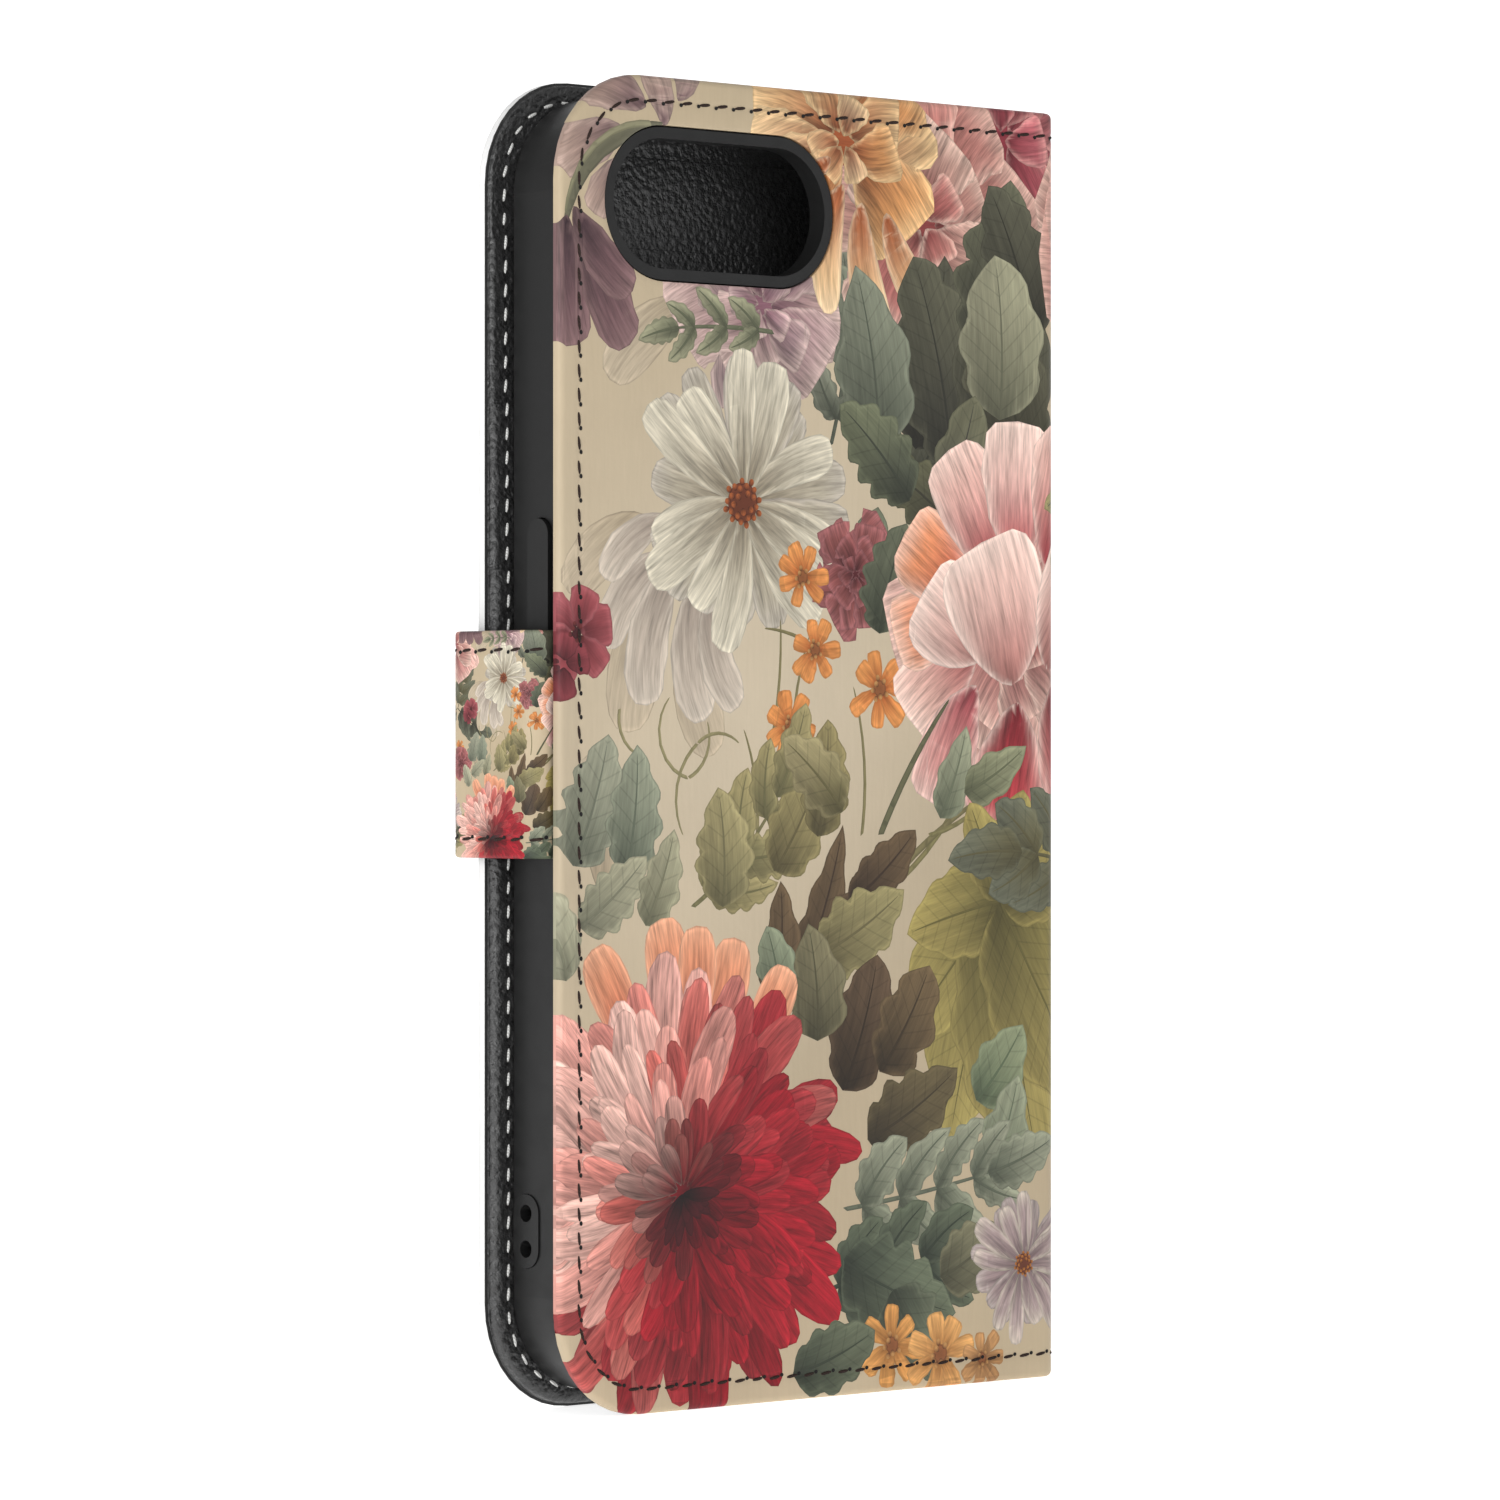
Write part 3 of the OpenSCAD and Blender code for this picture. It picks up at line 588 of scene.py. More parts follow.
def low_foliage():
    """Dark brown leaves over the big flower, and grey-green ones right of it."""
    leaves((44, 36, 62, 17, 10, "322619", "564432"), (50, 38, 48, 15, 10, "3c3020", "66543a"),
           (48, 30, 20, 17, 11, "3f3626", "5d5238"), (40, 42, 88, 14, 9, "54503a", "716b50"),
           (34, 47, 96, 9, 7, "5b6450", "7d846c"))
    branch(44, 22, 5, 26, 4, 11, "5d6352", "8a8d78", curl=0.1)
    branch(40, 12, 20, 22, 3, 11, "343c30", "575f4c", curl=-0.4)
    leaf(44, 16, 330, 20, 11, "3a4235", "5c6450")
    leaf(52, 12, 300, 14, 10, "3f4638", "626854")
    leaf(60, 13, 20, 12, 8, "53523e", "77745a")

def low_flowers():
    """Small flowers at the bottom and the great red dahlia by the opening edge."""
    daisy(74, 14, 9.5, petals=12, light="a08d8b", shadow="6f5c5e", heart="b8722f")
    blossom(52, 5.5, 5, outer="c9904f", inner="8e5a2a")
    blossom(60, 4, 5.4, outer="cf9a5c", inner="94602e")
    blossom(67, 3, 3.6, outer="b98a58", inner="7d5530")
    petals(((23, 41, 66, 14), (17, 42, 88, 15), (11, 41, 108, 14), (28, 40, 48, 13), (20, 43, 78, 13)), 0.46,
           curl=0.3, form=(0.62, 0.34), inner="a84a34", outer="cf8a68", rim="dcab8c", streak=0.9, dark=0.3)
    dahlia(18.7, 25, 27)
    leaf(36, 3, 10, 14, 8, "3a4234", "5b624e")

for part in (faint_growth, top_foliage, top_flowers, spine_side_leaves, middle_flowers, pink_peony,
             middle_foliage, low_foliage, low_flowers):
    part()
    print(part.__name__, len(art), "shapes so far")

# %% The picture on the spine and the front panel
def rest_of_sheet():
    """Sprays of leaves first, then the large flowers over them, then the small ones."""
    for x, z in ((96, 118), (90, 60), (100, 20), (150, 20), (165, 90), (118, 78), (130, 50), (150, 140),
                 (110, 150)):
        turn = rng.uniform(0, 360)
        for k in range(3):
            branch(x, z, turn + 120*k + rng.uniform(-15, 15), 18, 3, rng.uniform(10, 13),
                   rng.choice(("4e5245", "5f5a3d", "3a382c")), rng.choice(("77795f", "8f865c", "5f6150")))
    peony(92, 140, 18, "7e3837", "b98478", "dcbfae", spare=("a3897c", "a8605c"))
    peony(162, 122, 20, "8e3a3c", "c39088", "e2c6b6", spare=("b18e80", "ad6b61"))
    peony(118, 128, 15, "8f4a28", "c2925c", "dfc394", spare=("c2ac8f", "ad6a3c"))
    daisy(98, 96, 15)
    daisy(142, 100, 13)
    peony(100, 34, 14, "6f2a38", "a8646c", "cf9c94", spare=("a8525a", "c08a86"))
    dahlia(136, 34, 26, lit_from=60)
    for x, z in ((104, 66), (158, 66), (120, 104), (150, 92)):
        for k in range(4):
            dx, dz = rng.uniform(-9, 9), rng.uniform(-9, 9)
            stem(x, z - 12, 90 - 3*dx, 14, 0.3, 0.45, "7d7550")
            blossom(x + dx, z + dz, rng.uniform(3.2, 4.6))
    daisy(160, 36, 10, petals=12, light="a08d8b", shadow="6f5c5e", heart="b8722f")
    peony(168, 62, 8, "4d1c20", "864b48", "a2686a", rings=3, first=9)
    daisy(120, 9, 9)
    blossom(108, 6, 5)
    blossom(162, 8, 5)

rest_of_sheet()
print(len(art), "shapes on the whole sheet")

# %% [markdown]
# ## Materials
# Every finish is worked out from noise and from what the meshes carry, never from an image. The
# small class below lets a shader be written as arithmetic.

# %% Shader arithmetic
class Value:
    """One socket of a material's node tree."""
    def __init__(self, tree, socket):
        self.tree, self.socket = tree, socket

    def make(self, kind, inputs=None, out=0, **settings):
        """Any node, with its inputs given as sockets or plain values."""
        node = self.tree.nodes.new(kind)
        for key, setting in settings.items():
            setattr(node, key, setting)
        for key, value in (inputs or {}).items():
            if isinstance(value, Value):
                self.tree.links.new(value.socket, node.inputs[key])
            else:
                node.inputs[key].default_value = value
        return Value(self.tree, node.outputs[out])

    def maths(self, operation, *others):
        return self.make("ShaderNodeMath", dict(enumerate((self, *others))), operation=operation)

    def __add__(self, other): return self.maths("ADD", other)
    def __radd__(self, other): return self.maths("ADD", other)
    def __sub__(self, other): return self.maths("SUBTRACT", other)
    def __rsub__(self, other): return (self*-1) + other
    def __mul__(self, other): return self.maths("MULTIPLY", other)
    def __rmul__(self, other): return self.maths("MULTIPLY", other)
    def __truediv__(self, other): return self.maths("DIVIDE", other)
    def __abs__(self): return self.maths("ABSOLUTE")

    def clamp(self, low, high, to_low=0.0, to_high=1.0):
        """A smooth step from to_low at low to to_high at high."""
        return self.make("ShaderNodeMapRange", {0: self, 1: low, 2: high, 3: to_low, 4: to_high},
                         interpolation_type="SMOOTHSTEP")

    def parts(self):
        node = self.make("ShaderNodeSeparateXYZ", {0: self}).socket.node
        return [Value(self.tree, out) for out in node.outputs]

    def noise(self, scale, detail=2.0):
        return self.make("ShaderNodeTexNoise", {"Vector": self, "Scale": scale, "Detail": detail})

    def blend(self, other, share):
        """This colour turned towards another by a share that may vary."""
        return self.make("ShaderNodeMix", {0: share, 6: self, 7: other}, out=2, data_type="RGBA")

    def dim(self, factor):
        """This colour times a number that may vary."""
        return self.make("ShaderNodeVectorMath", {0: self, "Scale": factor}, operation="SCALE")

def finish(name, roughness=0.5, **plain_values):
    """A new material, its Principled node and its first Value, in object coordinates in mm."""
    material = bpy.data.materials.new(name)
    material.use_nodes = True
    tree = material.node_tree
    shader = tree.nodes["Principled BSDF"]
    shader.inputs["Roughness"].default_value = roughness
    for key, value in plain_values.items():
        shader.inputs[key.replace("_", " ")].default_value = value
    start = Value(tree, None)
    place = start.make("ShaderNodeTexCoord", out=3)
    place = place.make("ShaderNodeVectorMath", {0: place, "Scale": 1/MM}, operation="SCALE")
    return material, shader, place

def wire(value, shader, socket):
    value.tree.links.new(value.socket, shader.inputs[socket])

def bumps(height, shader, strength, distance=0.1):
    """Raises the surface by a height in mm."""
    node = height.make("ShaderNodeBump", {"Height": height, "Strength": strength, "Distance": distance*MM})
    wire(node, shader, "Normal")

def rgb(code):
    return (*colour(code), 1)

# %% [markdown]
# Printed leather: coated fabric with the flowers inked on. The mesh gives each petal its flat
# colour and says how far along and across it each point is; brush streaks, leaf veins, a dark
# outline and a pale margin come from that.

# %% Printed leather
def make_print():
    material, shader, place = finish("leather_with_flowers", 0.52, Specular_IOR_Level=0.32)
    paint = place.make("ShaderNodeAttribute", attribute_name="paint")
    stroke = place.make("ShaderNodeAttribute", attribute_name="stroke", out=1)
    form = place.make("ShaderNodeAttribute", attribute_name="form", out=1)
    across, along, seed = stroke.parts()
    streak, veined, edge = form.parts()
    brush = place.make("ShaderNodeCombineXYZ", {0: across*1.9, 1: along*0.16, 2: seed})
    fine = place.make("ShaderNodeCombineXYZ", {0: across*5.5, 1: along*0.4, 2: seed + 7.0})
    lines = brush.noise(1.0, 3.0)*0.65 + fine.noise(1.0, 2.0)*0.35
    tone = 1.0 + (lines - 0.5)*streak*2.3
    side = (along - abs(across)*0.75)/2.3
    rib = abs(side.maths("FRACT") - 0.5).clamp(0.0, 0.09, 1.0, 0.0)*edge.clamp(0.1, 0.7)
    tone = tone*(1.0 - rib*veined*0.22)
    tone = tone*edge.clamp(0.0, 0.3, 0.8, 1.0)
    pale = edge.clamp(0.12, 0.3)*edge.clamp(0.35, 0.9, 1.0, 0.0)
    blotch = place.noise(0.07, 4.0)
    tone = tone*(0.9 + blotch*0.2)
    tone = tone*(1.0 + pale*0.16)
    wire(paint.dim(tone), shader, "Base Color")
    grain = place.make("ShaderNodeTexVoronoi", {"Vector": place, "Scale": 1.7}, feature="SMOOTH_F1")
    bumps(grain + place.noise(3.0, 2.0)*0.5, shader, 0.10, 0.12)
    return material

printed = make_print()

# %% Black leather, threads, rubber and the hidden layers
def make_black():
    material, shader, place = finish("leather_black_grained", 0.42, Specular_IOR_Level=0.75)
    shader.inputs["Base Color"].default_value = rgb("2a2a2a")
    cells = place.make("ShaderNodeTexVoronoi", {"Vector": place, "Scale": 1.5}, feature="SMOOTH_F1")
    folds = place.noise(0.55, 3.0)
    wire((cells*0.5 + folds*0.3).clamp(0.1, 0.7, 0.28, 0.5), shader, "Roughness")
    bumps(cells*1.2 + folds*0.8 + place.noise(4.0, 2.0)*0.5, shader, 0.75, 0.3)
    return material

def make_thread(name, code, roughness=0.75):
    material, shader, place = finish(name, roughness, Specular_IOR_Level=0.25)
    ply = place.make("ShaderNodeTexWave", {"Vector": place, "Scale": 1.6, "Distortion": 1.5},
                     bands_direction="DIAGONAL")
    base = place.make("ShaderNodeRGB")
    base.socket.default_value = rgb(code)
    # The ply bands that raise the thread also set its colour, darker in the grooves between plies: painted
    # shade.
    wire(base.dim(0.75 + ply*0.45), shader, "Base Color")
    bumps(ply, shader, 0.4, 0.06)
    return material

def make_rubber():
    material, shader, place = finish("rubber_moulded", 0.4, Specular_IOR_Level=0.36)
    shader.inputs["Base Color"].default_value = rgb("1d1d1d")
    wire(place.noise(0.4, 3.0).clamp(0.3, 0.7, 0.36, 0.46), shader, "Roughness")
    bumps(place.noise(9.0, 2.0), shader, 0.08, 0.03)
    return material

def make_plain(name, code, roughness, metallic=0.0):
    material, shader, place = finish(name, roughness, Metallic=metallic)
    base = place.make("ShaderNodeRGB")
    base.socket.default_value = rgb(code)
    wire(base.dim(0.85 + place.noise(0.8, 4.0)*0.3), shader, "Base Color")
    return material

black_leather = make_black()
rubber = make_rubber()
dark_thread = make_thread("thread_dark", "2a1d18")
white_thread = make_thread("thread_white", "d9d9d6")
board_grey = make_plain("board_grey", "6d6a64", 0.9)
tape_clear = make_plain("tape_pale", "c9c4b8", 0.5)
steel = make_plain("magnet_plated", "a8a8a8", 0.3, 1.0)
# Needle holes are flat near-black discs, painted shade in place of cut holes.
hole_painted_shade = make_plain("painted_hole_shade", "0b0908", 0.9)
for node, material in (("back_board", board_grey), ("spine_board", board_grey), ("front_board", board_grey),
                       ("tray_tape", tape_clear), ("front_magnets", steel), ("strap_tab_magnets", steel)):
    for material_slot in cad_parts[node].material_slots:
        material_slot.material = material

# %% [markdown]
# ## Cutting the picture into the skin
# The outlines of all the shapes, the edge of the sheet, the window and a few guide lines go into
# one triangulation, so every edge of every petal is an edge of the mesh. A triangle belongs to
# the nearest shape it lies in. That keeps the print crisp with no image at all.

# %% Triangulate shapes and guide lines together
def triangulate(shapes, lines, extra, keep):
    """Points, triangles and the shape each triangle shows, or -1 for bare ground."""
    points, edges, faces = [], [], []
    for shape in shapes:
        loop = shape.outline()
        faces.append(list(range(len(points), len(points) + len(loop))))
        points.extend(map(tuple, loop))
    for line, closed in lines:
        first = len(points)
        points.extend(line)
        edges.extend((first + k, first + k + 1) for k in range(len(line) - 1))
        if closed:
            edges.append((first + len(line) - 1, first))
    points.extend(extra)
    result = delaunay_2d_cdt([Vector(p) for p in points], edges, faces, 0, 1e-5)
    spots = np.array([tuple(v) for v in result[0]])
    corners = np.array(result[2])
    centres = spots[corners].mean(axis=1)
    lies_in = [(k, owner) for k, owners in enumerate(result[5]) for owner in owners]
    nearest = np.full(len(corners), -1)
    if lies_in:
        lies_in = np.array(lies_in)
        lies_in = lies_in[np.argsort(lies_in[:, 1], kind="stable")]
        starts = np.unique(lies_in[:, 1], return_index=True)
        for owner, first, last in zip(starts[0], starts[1], [*starts[1][1:], len(lies_in)]):
            faces_in = lies_in[first:last, 0]
            faces_in = faces_in[shapes[owner].holds(centres[faces_in])]
            nearest[faces_in] = owner
    kept = keep(centres)
    used, index = np.unique(corners[kept], return_inverse=True)
    return spots[used], index.reshape(-1, 3), nearest[kept]

def spread(x0, z0, x1, z1, pitch):
    """Loosely scattered points, so that the bare ground has no grid."""
    out = []
    for j in range(int((z1 - z0)/pitch)):
        for i in range(int((x1 - x0)/pitch)):
            x = x0 + (i + 0.5 + rng.uniform(-0.3, 0.3))*pitch
            out.append((x, z0 + (j + 0.5 + rng.uniform(-0.3, 0.3))*pitch))
    return out

def rim_edges(triangles):
    """Directed edges on the border of a set of triangles, and the triangle each belongs to."""
    a = triangles[:, [0, 1, 2]].ravel()
    b = triangles[:, [1, 2, 0]].ravel()
    owner = np.repeat(np.arange(len(triangles)), 3)
    seen = set(zip(a.tolist(), b.tolist()))
    sides = zip(a.tolist(), b.tolist(), owner.tolist())
    return [(p, q, t) for p, q, t in sides if (q, p) not in seen]

# %% Colours carried by the mesh
def ground(q, scale=1.0):
    """The beige field behind the flowers, warmer and darker in soft clouds."""
    x, z = q[:, 0]/scale, q[:, 1]/scale
    cloud = 0.5 + 0.25*np.sin(x/17 + 1.3*np.sin(z/23)) + 0.25*np.sin(z/19 + 1.1*np.sin(x/13) + 2.0)
    glow = np.exp(-((x - 30)**2 + (z - 80)**2)/1800)
    base = mix(colour("a8977b"), colour("bfae92"), cloud[:, None])
    return mix(base, colour("c2b59f"), 0.7*glow[:, None])

def painted(points, triangles, owners, shapes, tint=None, scale=1.0):
    """Paint, stroke and form for the three corners of every triangle."""
    corners = points[triangles].reshape(-1, 2)
    whose = np.repeat(owners, 3)
    paint = ground(corners, scale)
    stroke = np.concatenate([corners/scale, np.zeros((len(corners), 1))], 1)
    form = np.tile([0.06, 0.0, 9.0], (len(corners), 1))
    for k in np.unique(owners):
        if k >= 0:
            mask = whose == k
            paint[mask], stroke[mask], form[mask] = shapes[k].paint(corners[mask])
    if tint is not None:
        paint, form = tint(corners, paint, form)
    return paint, stroke, form

# %% [markdown]
# A skin is a closed shell. Its outer face carries the print, rolls over at the free edges and
# sinks a little along the seam; its inner face is plain and steps down to wrap the board's edge.

# %% Build a printed skin
def build_skin(name, material, shapes, lines, inner_lines, spread_points, keep, depths, place, **look):
    """A closed shell from a flat outline: keep says what is sheet, place folds it at its depths."""
    outer_depth, inner_depth = depths
    points, triangles, owners = triangulate(shapes, lines, spread_points, keep)
    paint, stroke, form = painted(points, triangles, owners, shapes, **look)
    border = rim_edges(triangles)
    loops = [([tuple(points[p]), tuple(points[q])], False) for p, q, t in border]
    under, under_faces, _ = triangulate([], loops + inner_lines, [], keep)

    top = place(points, outer_depth(points))
    low = place(under, inner_depth(under))
    tree = KDTree(len(under))
    for k, (x, z) in enumerate(under):
        tree.insert((x, z, 0), k)
    tree.balance()
    walls, wall_from = [], []
    for p, q, t in border:
        pk, qk = (tree.find((*points[v], 0))[1] for v in (p, q))
        if pk != qk:
            walls.append((q, p, len(points) + pk, len(points) + qk))
            wall_from.append(t)
    faces = triangles.tolist() + (under_faces[:, ::-1] + len(points)).tolist() + walls

    mesh = bpy.data.meshes.new(name)
    mesh.from_pydata((np.concatenate([top, low])*MM).tolist(), [], faces)
    fill = np.zeros((len(under_faces)*3, 3))
    wall_paint = [paint[3*t:3*t + 3].mean(axis=0) for t in wall_from for _ in range(4)]
    wall_stroke = [stroke[3*t] for t in wall_from for _ in range(4)]
    wall_form = [np.array([0.1, 0, 9.0]) for t in wall_from for _ in range(4)]
    for label, kind, first, last in (("paint", "FLOAT_COLOR", paint, wall_paint),
                                     ("stroke", "FLOAT_VECTOR", stroke, wall_stroke),
                                     ("form", "FLOAT_VECTOR", form, wall_form)):
        inside = fill + (0.05 if label == "paint" else 0)
        data = np.concatenate([first, inside, np.array(last).reshape(-1, 3)])
        layer = mesh.attributes.new(label, kind, "CORNER")
        if kind == "FLOAT_COLOR":
            data = np.concatenate([np.clip(data, 0, 1), np.ones((len(data), 1))], 1)
            layer.data.foreach_set("color", data.ravel())
        else:
            layer.data.foreach_set("vector", data.ravel())
    skin = bpy.data.objects.new(name, mesh)
    bpy.context.scene.collection.objects.link(skin)
    mesh.materials.append(material)
    bpy.ops.object.select_all(action="DESELECT")
    skin.select_set(True)
    bpy.context.view_layer.objects.active = skin
    bpy.ops.object.shade_smooth_by_angle(angle=math.radians(38))
    print(name, len(faces), "faces,", len(border) - len(walls), "gaps")
    return skin

# %% The two halves of the cover's skin
window_low, window_high = Vector((6.8, 130.1)), Vector((42.8, 148.1))
window_r = (window_high.y - window_low.y)/2

def in_window(q):
    """Distance out from the window's edge."""
    middle_x, middle_z = (window_low + window_high)/2
    straight = (window_high.x - window_low.x)/2 - window_r
    dx = np.maximum(np.abs(q[:, 0] - middle_x) - straight, 0)
    return np.hypot(dx, q[:, 1] - middle_z) - window_r

def window_loop(grow):
    lo, hi = window_low - Vector((grow, grow)), window_high + Vector((grow, grow))
    return rounded_loop(lo.x, lo.y, hi.x, hi.y, window_r + grow, window_r + grow, 16)

def reaches(shape, low, high):
    return shape.at[0] + shape.length > low and shape.at[0] - shape.length < high

def edge_of_sheet(q):
    return edge_in(q[:, 0], q[:, 1], sheet_w, tall, corner_r)

def on_sheet(q, depth):
    x, y = fold(q[:, 0], depth)
    return np.stack([x, y, q[:, 1]], -1)

def half_lines(on_front, insets, closed_window=()):
    """Guide lines for one half: loops at distances in from its edge, and the crease's folds."""
    def flip(line):
        return [(sheet_w - x, z) for x, z in line] if on_front else line
    lines = []
    for e in insets:
        loop = rounded_loop(e, e, half_sheet, tall - e, max(corner_r - e, 0.5), 0)
        lines.append((flip(loop), True))
    folds = [flat - d for d in (0.4, 0.8, 1.2, 1.6, 2.2, 3, 5, 10, 20, 40)]
    folds += [flat + arc*share for share in np.linspace(0, 1, 13)]
    folds += [flat + arc*share for share in (0.44, 0.47, 0.53, 0.56)]
    lines += [(flip([(a, 0), (a, tall)]), False) for a in folds]
    return lines + [(window_loop(g), True) for g in closed_window]

def half_keep(on_front, least, window=True):
    def keep(q):
        mine = (q[:, 0] > half_sheet) if on_front else (q[:, 0] < half_sheet)
        return mine & (edge_of_sheet(q) > least + 1e-4) & ((not window) | on_front | (in_window(q) > 1e-4))
    return keep

def rolled(e, r):
    """How far a rolled edge of radius r has dropped, e in from where it ends."""
    return r - np.sqrt(np.maximum(r**2 - np.maximum(r - e, 0)**2, 0))

def cover_skin(name, on_front, edge_r, rim_depth, tint):
    """Half the printed sheet, from the free edge to the middle of the spine."""
    keep = half_keep(on_front, 0)
    def outer_depth(q):
        e = edge_of_sheet(q)
        seam = 0.07*np.exp(-((e - seam_in)/0.4)**2)
        hole = 0 if on_front else 0.12*np.exp(-np.maximum(in_window(q), 0)/0.25)
        return rolled(e, edge_r) + seam + hole
    def inner_depth(q):
        return np.where(edge_of_sheet(q) < board_in, rim_depth, skin_t)
    insets = (0, 0.06, 0.2, 0.4, edge_r, 2.3, 2.6, seam_in, 3.2, 3.5)
    lines = half_lines(on_front, insets, () if on_front else (0, 0.1, 0.3, 0.7))
    low, high = (half_sheet, sheet_w + 20) if on_front else (-20, half_sheet)
    shapes = [s for s in art if reaches(s, low, high)]
    scatter = spread(1, 1, sheet_w - 1, tall - 1, 2.4)
    for shape in shapes:
        scatter.extend(map(tuple, shape.inside_points(1.5)))
    scatter = np.array(scatter)
    scatter = scatter[keep(scatter) & (np.abs(scatter[:, 0] - half_sheet) > 0.2)]
    inner_lines = half_lines(on_front, (board_in - 0.02, board_in + 0.02))
    return build_skin(name, printed, shapes, lines, inner_lines, list(map(tuple, scatter)), keep,
                      (outer_depth, inner_depth), on_sheet, tint=tint)

def front_tint(q, paint, form):
    """The front sheet's edge is left unprinted, so the rolled rim shows its white edge paint, set a light
    grey as painted shade.
    """
    reach = np.where(np.abs(q[:, 1] - tall/2) < 25, 0.3, 0.95)
    bare = smooth(reach + 0.1, reach - 0.1, edge_of_sheet(q))[:, None]
    return mix(paint, colour("e6e6e5"), bare), form*(1 - bare) + np.array([0, 0, 9.0])*bare

def bend_with_spine(piece, on_front, bend_from=bend - fold_reach, bend_to=bend + fold_reach):
    """Bakes the piece's placement into its mesh. The ends of the hinge line, which lies at bend, are worked
    out but not used, so the piece does not follow its cover up to the fold or the spine beyond it."""
    face, inward = (front, -1) if on_front else (back, 1)
    half = (bend_to - bend_from)/2
    start = (crease*MM, (face + inward*bend_from)*MM, tall/2*MM)
    end = ((crease + half)*MM, (face + inward*(bend_from + half))*MM, tall/2*MM)
    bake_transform(piece)

back_leather = cover_skin("back_cover_leather", False, 0.7, 1.2, None)
front_leather = cover_skin("front_cover_leather", True, 0.9, 1.7, front_tint)
for piece, on_front in ((back_leather, False), (front_leather, True)):
    bend_with_spine(piece, on_front)
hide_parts("back_skin", "spine_skin")
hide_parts("front_skin")

# %% [markdown]
# The lining is one sheet of thin black leather glued over the boards and folded at the same
# creases, so it is made the same way, deeper in. Its edges stop just short of the skin's.

# %% Linings
def cover_lining(name, on_front, depths, window):
    """Half the black lining, which starts least in from the skin's edge."""
    outer, inner = depths
    least = 0.3
    keep = half_keep(on_front, least, window)
    def toward_spine(q):
        a = np.where(q[:, 0] > half_sheet, sheet_w - q[:, 0], q[:, 0])
        return smooth(0, 1, (a - flat)/arc)
    def outer_depth(q):
        e = edge_of_sheet(q) - least
        return mix(outer, spine_lining_depths[0], toward_spine(q)) + 0.15*np.exp(-e/0.1)
    def inner_depth(q):
        e = edge_of_sheet(q) - least
        puff = 0.05*np.exp(-((edge_of_sheet(q) - seam_in)/0.5)**2)
        flat_depth = mix(inner, spine_lining_depths[1], toward_spine(q))
        return flat_depth - rolled(np.maximum(e, 0), 0.22) - puff
    insets = (least, 0.34, 0.42, 0.52, 2.3, 2.6, seam_in, 3.2, 3.5)
    lines = half_lines(on_front, insets, (0,) if window and not on_front else ())
    scatter = np.array(spread(1, 1, sheet_w - 1, tall - 1, 6))
    scatter = scatter[keep(scatter) & (np.abs(scatter[:, 0] - half_sheet) > 0.2)]
    piece = build_skin(name, black_leather, [], lines, lines, list(map(tuple, scatter)), keep,
                       (outer_depth, inner_depth), on_sheet)
    bend_with_spine(piece, on_front, inner, bend + box_mm("spine_lining")[0].x - crease)
    return piece

back_inside = cover_lining("back_cover_lining", False, back_lining_depths, True)
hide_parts("back_lining", "spine_lining")
front_inside = cover_lining("front_cover_lining", True, front_lining_depths, False)
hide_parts("front_lining")

# %% [markdown]
# ## Pockets
# Four thin leather panels lie on one another inside the front cover: three card pockets, each
# ending lower than the one behind it, and a full-length pocket for notes. Each is cut, its edge
# is pressed round, and it is held only by the seam along the edge.

# %% Pocket panels
def pocket(name, node):
    """A sheet on the front lining up to the pocket's mouth, its free edge rolled down to the lining."""
    lo, hi = box_mm(node)
    face, reverse, mouth, least = front - lo.y, front - hi.y, hi.z, 0.34
    roll = face - front_lining_depths[1]
    def keep(q):
        on_cover = q[:, 0] > sheet_w - flat
        return on_cover & (edge_of_sheet(q) > least + 1e-4) & (q[:, 1] < mouth - 1e-4)
    def inner_depth(q):
        e = np.maximum(edge_of_sheet(q) - least, 0)
        puff = 0.06*np.exp(-((edge_of_sheet(q) - seam_in + 0.5)/0.45)**2)
        return face - rolled(e, roll) - rolled(np.maximum(mouth - q[:, 1], 0), 0.12) - puff
    def outer_depth(q):
        return np.minimum(reverse, inner_depth(q) - 0.1)
    insets = [least] + [least + roll*k for k in (0.03, 0.1, 0.22, 0.4, 0.65, 1.0)] + [2.0, 2.4, 2.8]
    lines = half_lines(True, insets)[:len(insets)]
    lines += [([(half_sheet, mouth - k), (sheet_w, mouth - k)], False) for k in (0, 0.03, 0.12)]
    lines += [([(sheet_w - flat, 0), (sheet_w - flat, tall)], False)]
    scatter = np.array(spread(sheet_w - flat + 1, 1, sheet_w - 1, mouth - 1, 6))
    scatter = scatter[keep(scatter)]
    piece = build_skin(name, black_leather, [], lines, lines, list(map(tuple, scatter)), keep,
                       (outer_depth, inner_depth), on_sheet)
    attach(piece, "front_cover")
    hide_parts(node)

for name, node in (("note_pocket", "bill_pocket"), ("card_pocket_top", "card_pocket_upper"),
                   ("card_pocket_centre", "card_pocket_middle"), ("card_pocket_base", "card_pocket_lower")):
    pocket(name, node)

# %% [markdown]
# ## Stitches
# A lockstitch shows as a short raised bar of thread between two needle holes. One bar is shaped
# from a sphere, then laid along a seam again and again; the seam is worked out on the flat
# sheet, and the bars are folded with it.

# %% One stitch, and a seam of them
def one_stitch():
    """A bar of thread 1 long, as vertices and faces; seam() sinks its ends."""
    bpy.ops.object.select_all(action="DESELECT")
    bpy.ops.mesh.primitive_uv_sphere_add(segments=8, ring_count=7, radius=0.5, location=(0, 0, 0))
    bar = bpy.context.object
    bpy.ops.object.mode_set(mode="EDIT")
    bpy.ops.mesh.select_all(action="SELECT")
    bpy.ops.transform.rotate(value=math.pi/2, orient_axis="Y", center_override=(0, 0, 0))
    bpy.ops.object.mode_set(mode="OBJECT")
    spots = np.array([tuple(v.co) for v in bar.data.vertices])
    faces = [tuple(p.vertices) for p in bar.data.polygons]
    bpy.data.objects.remove(bar)
    spots[:, 0] = np.sign(spots[:, 0])*np.abs(spots[:, 0]*2)**0.7*0.5
    return spots, faces

bar_spots, bar_faces = one_stitch()

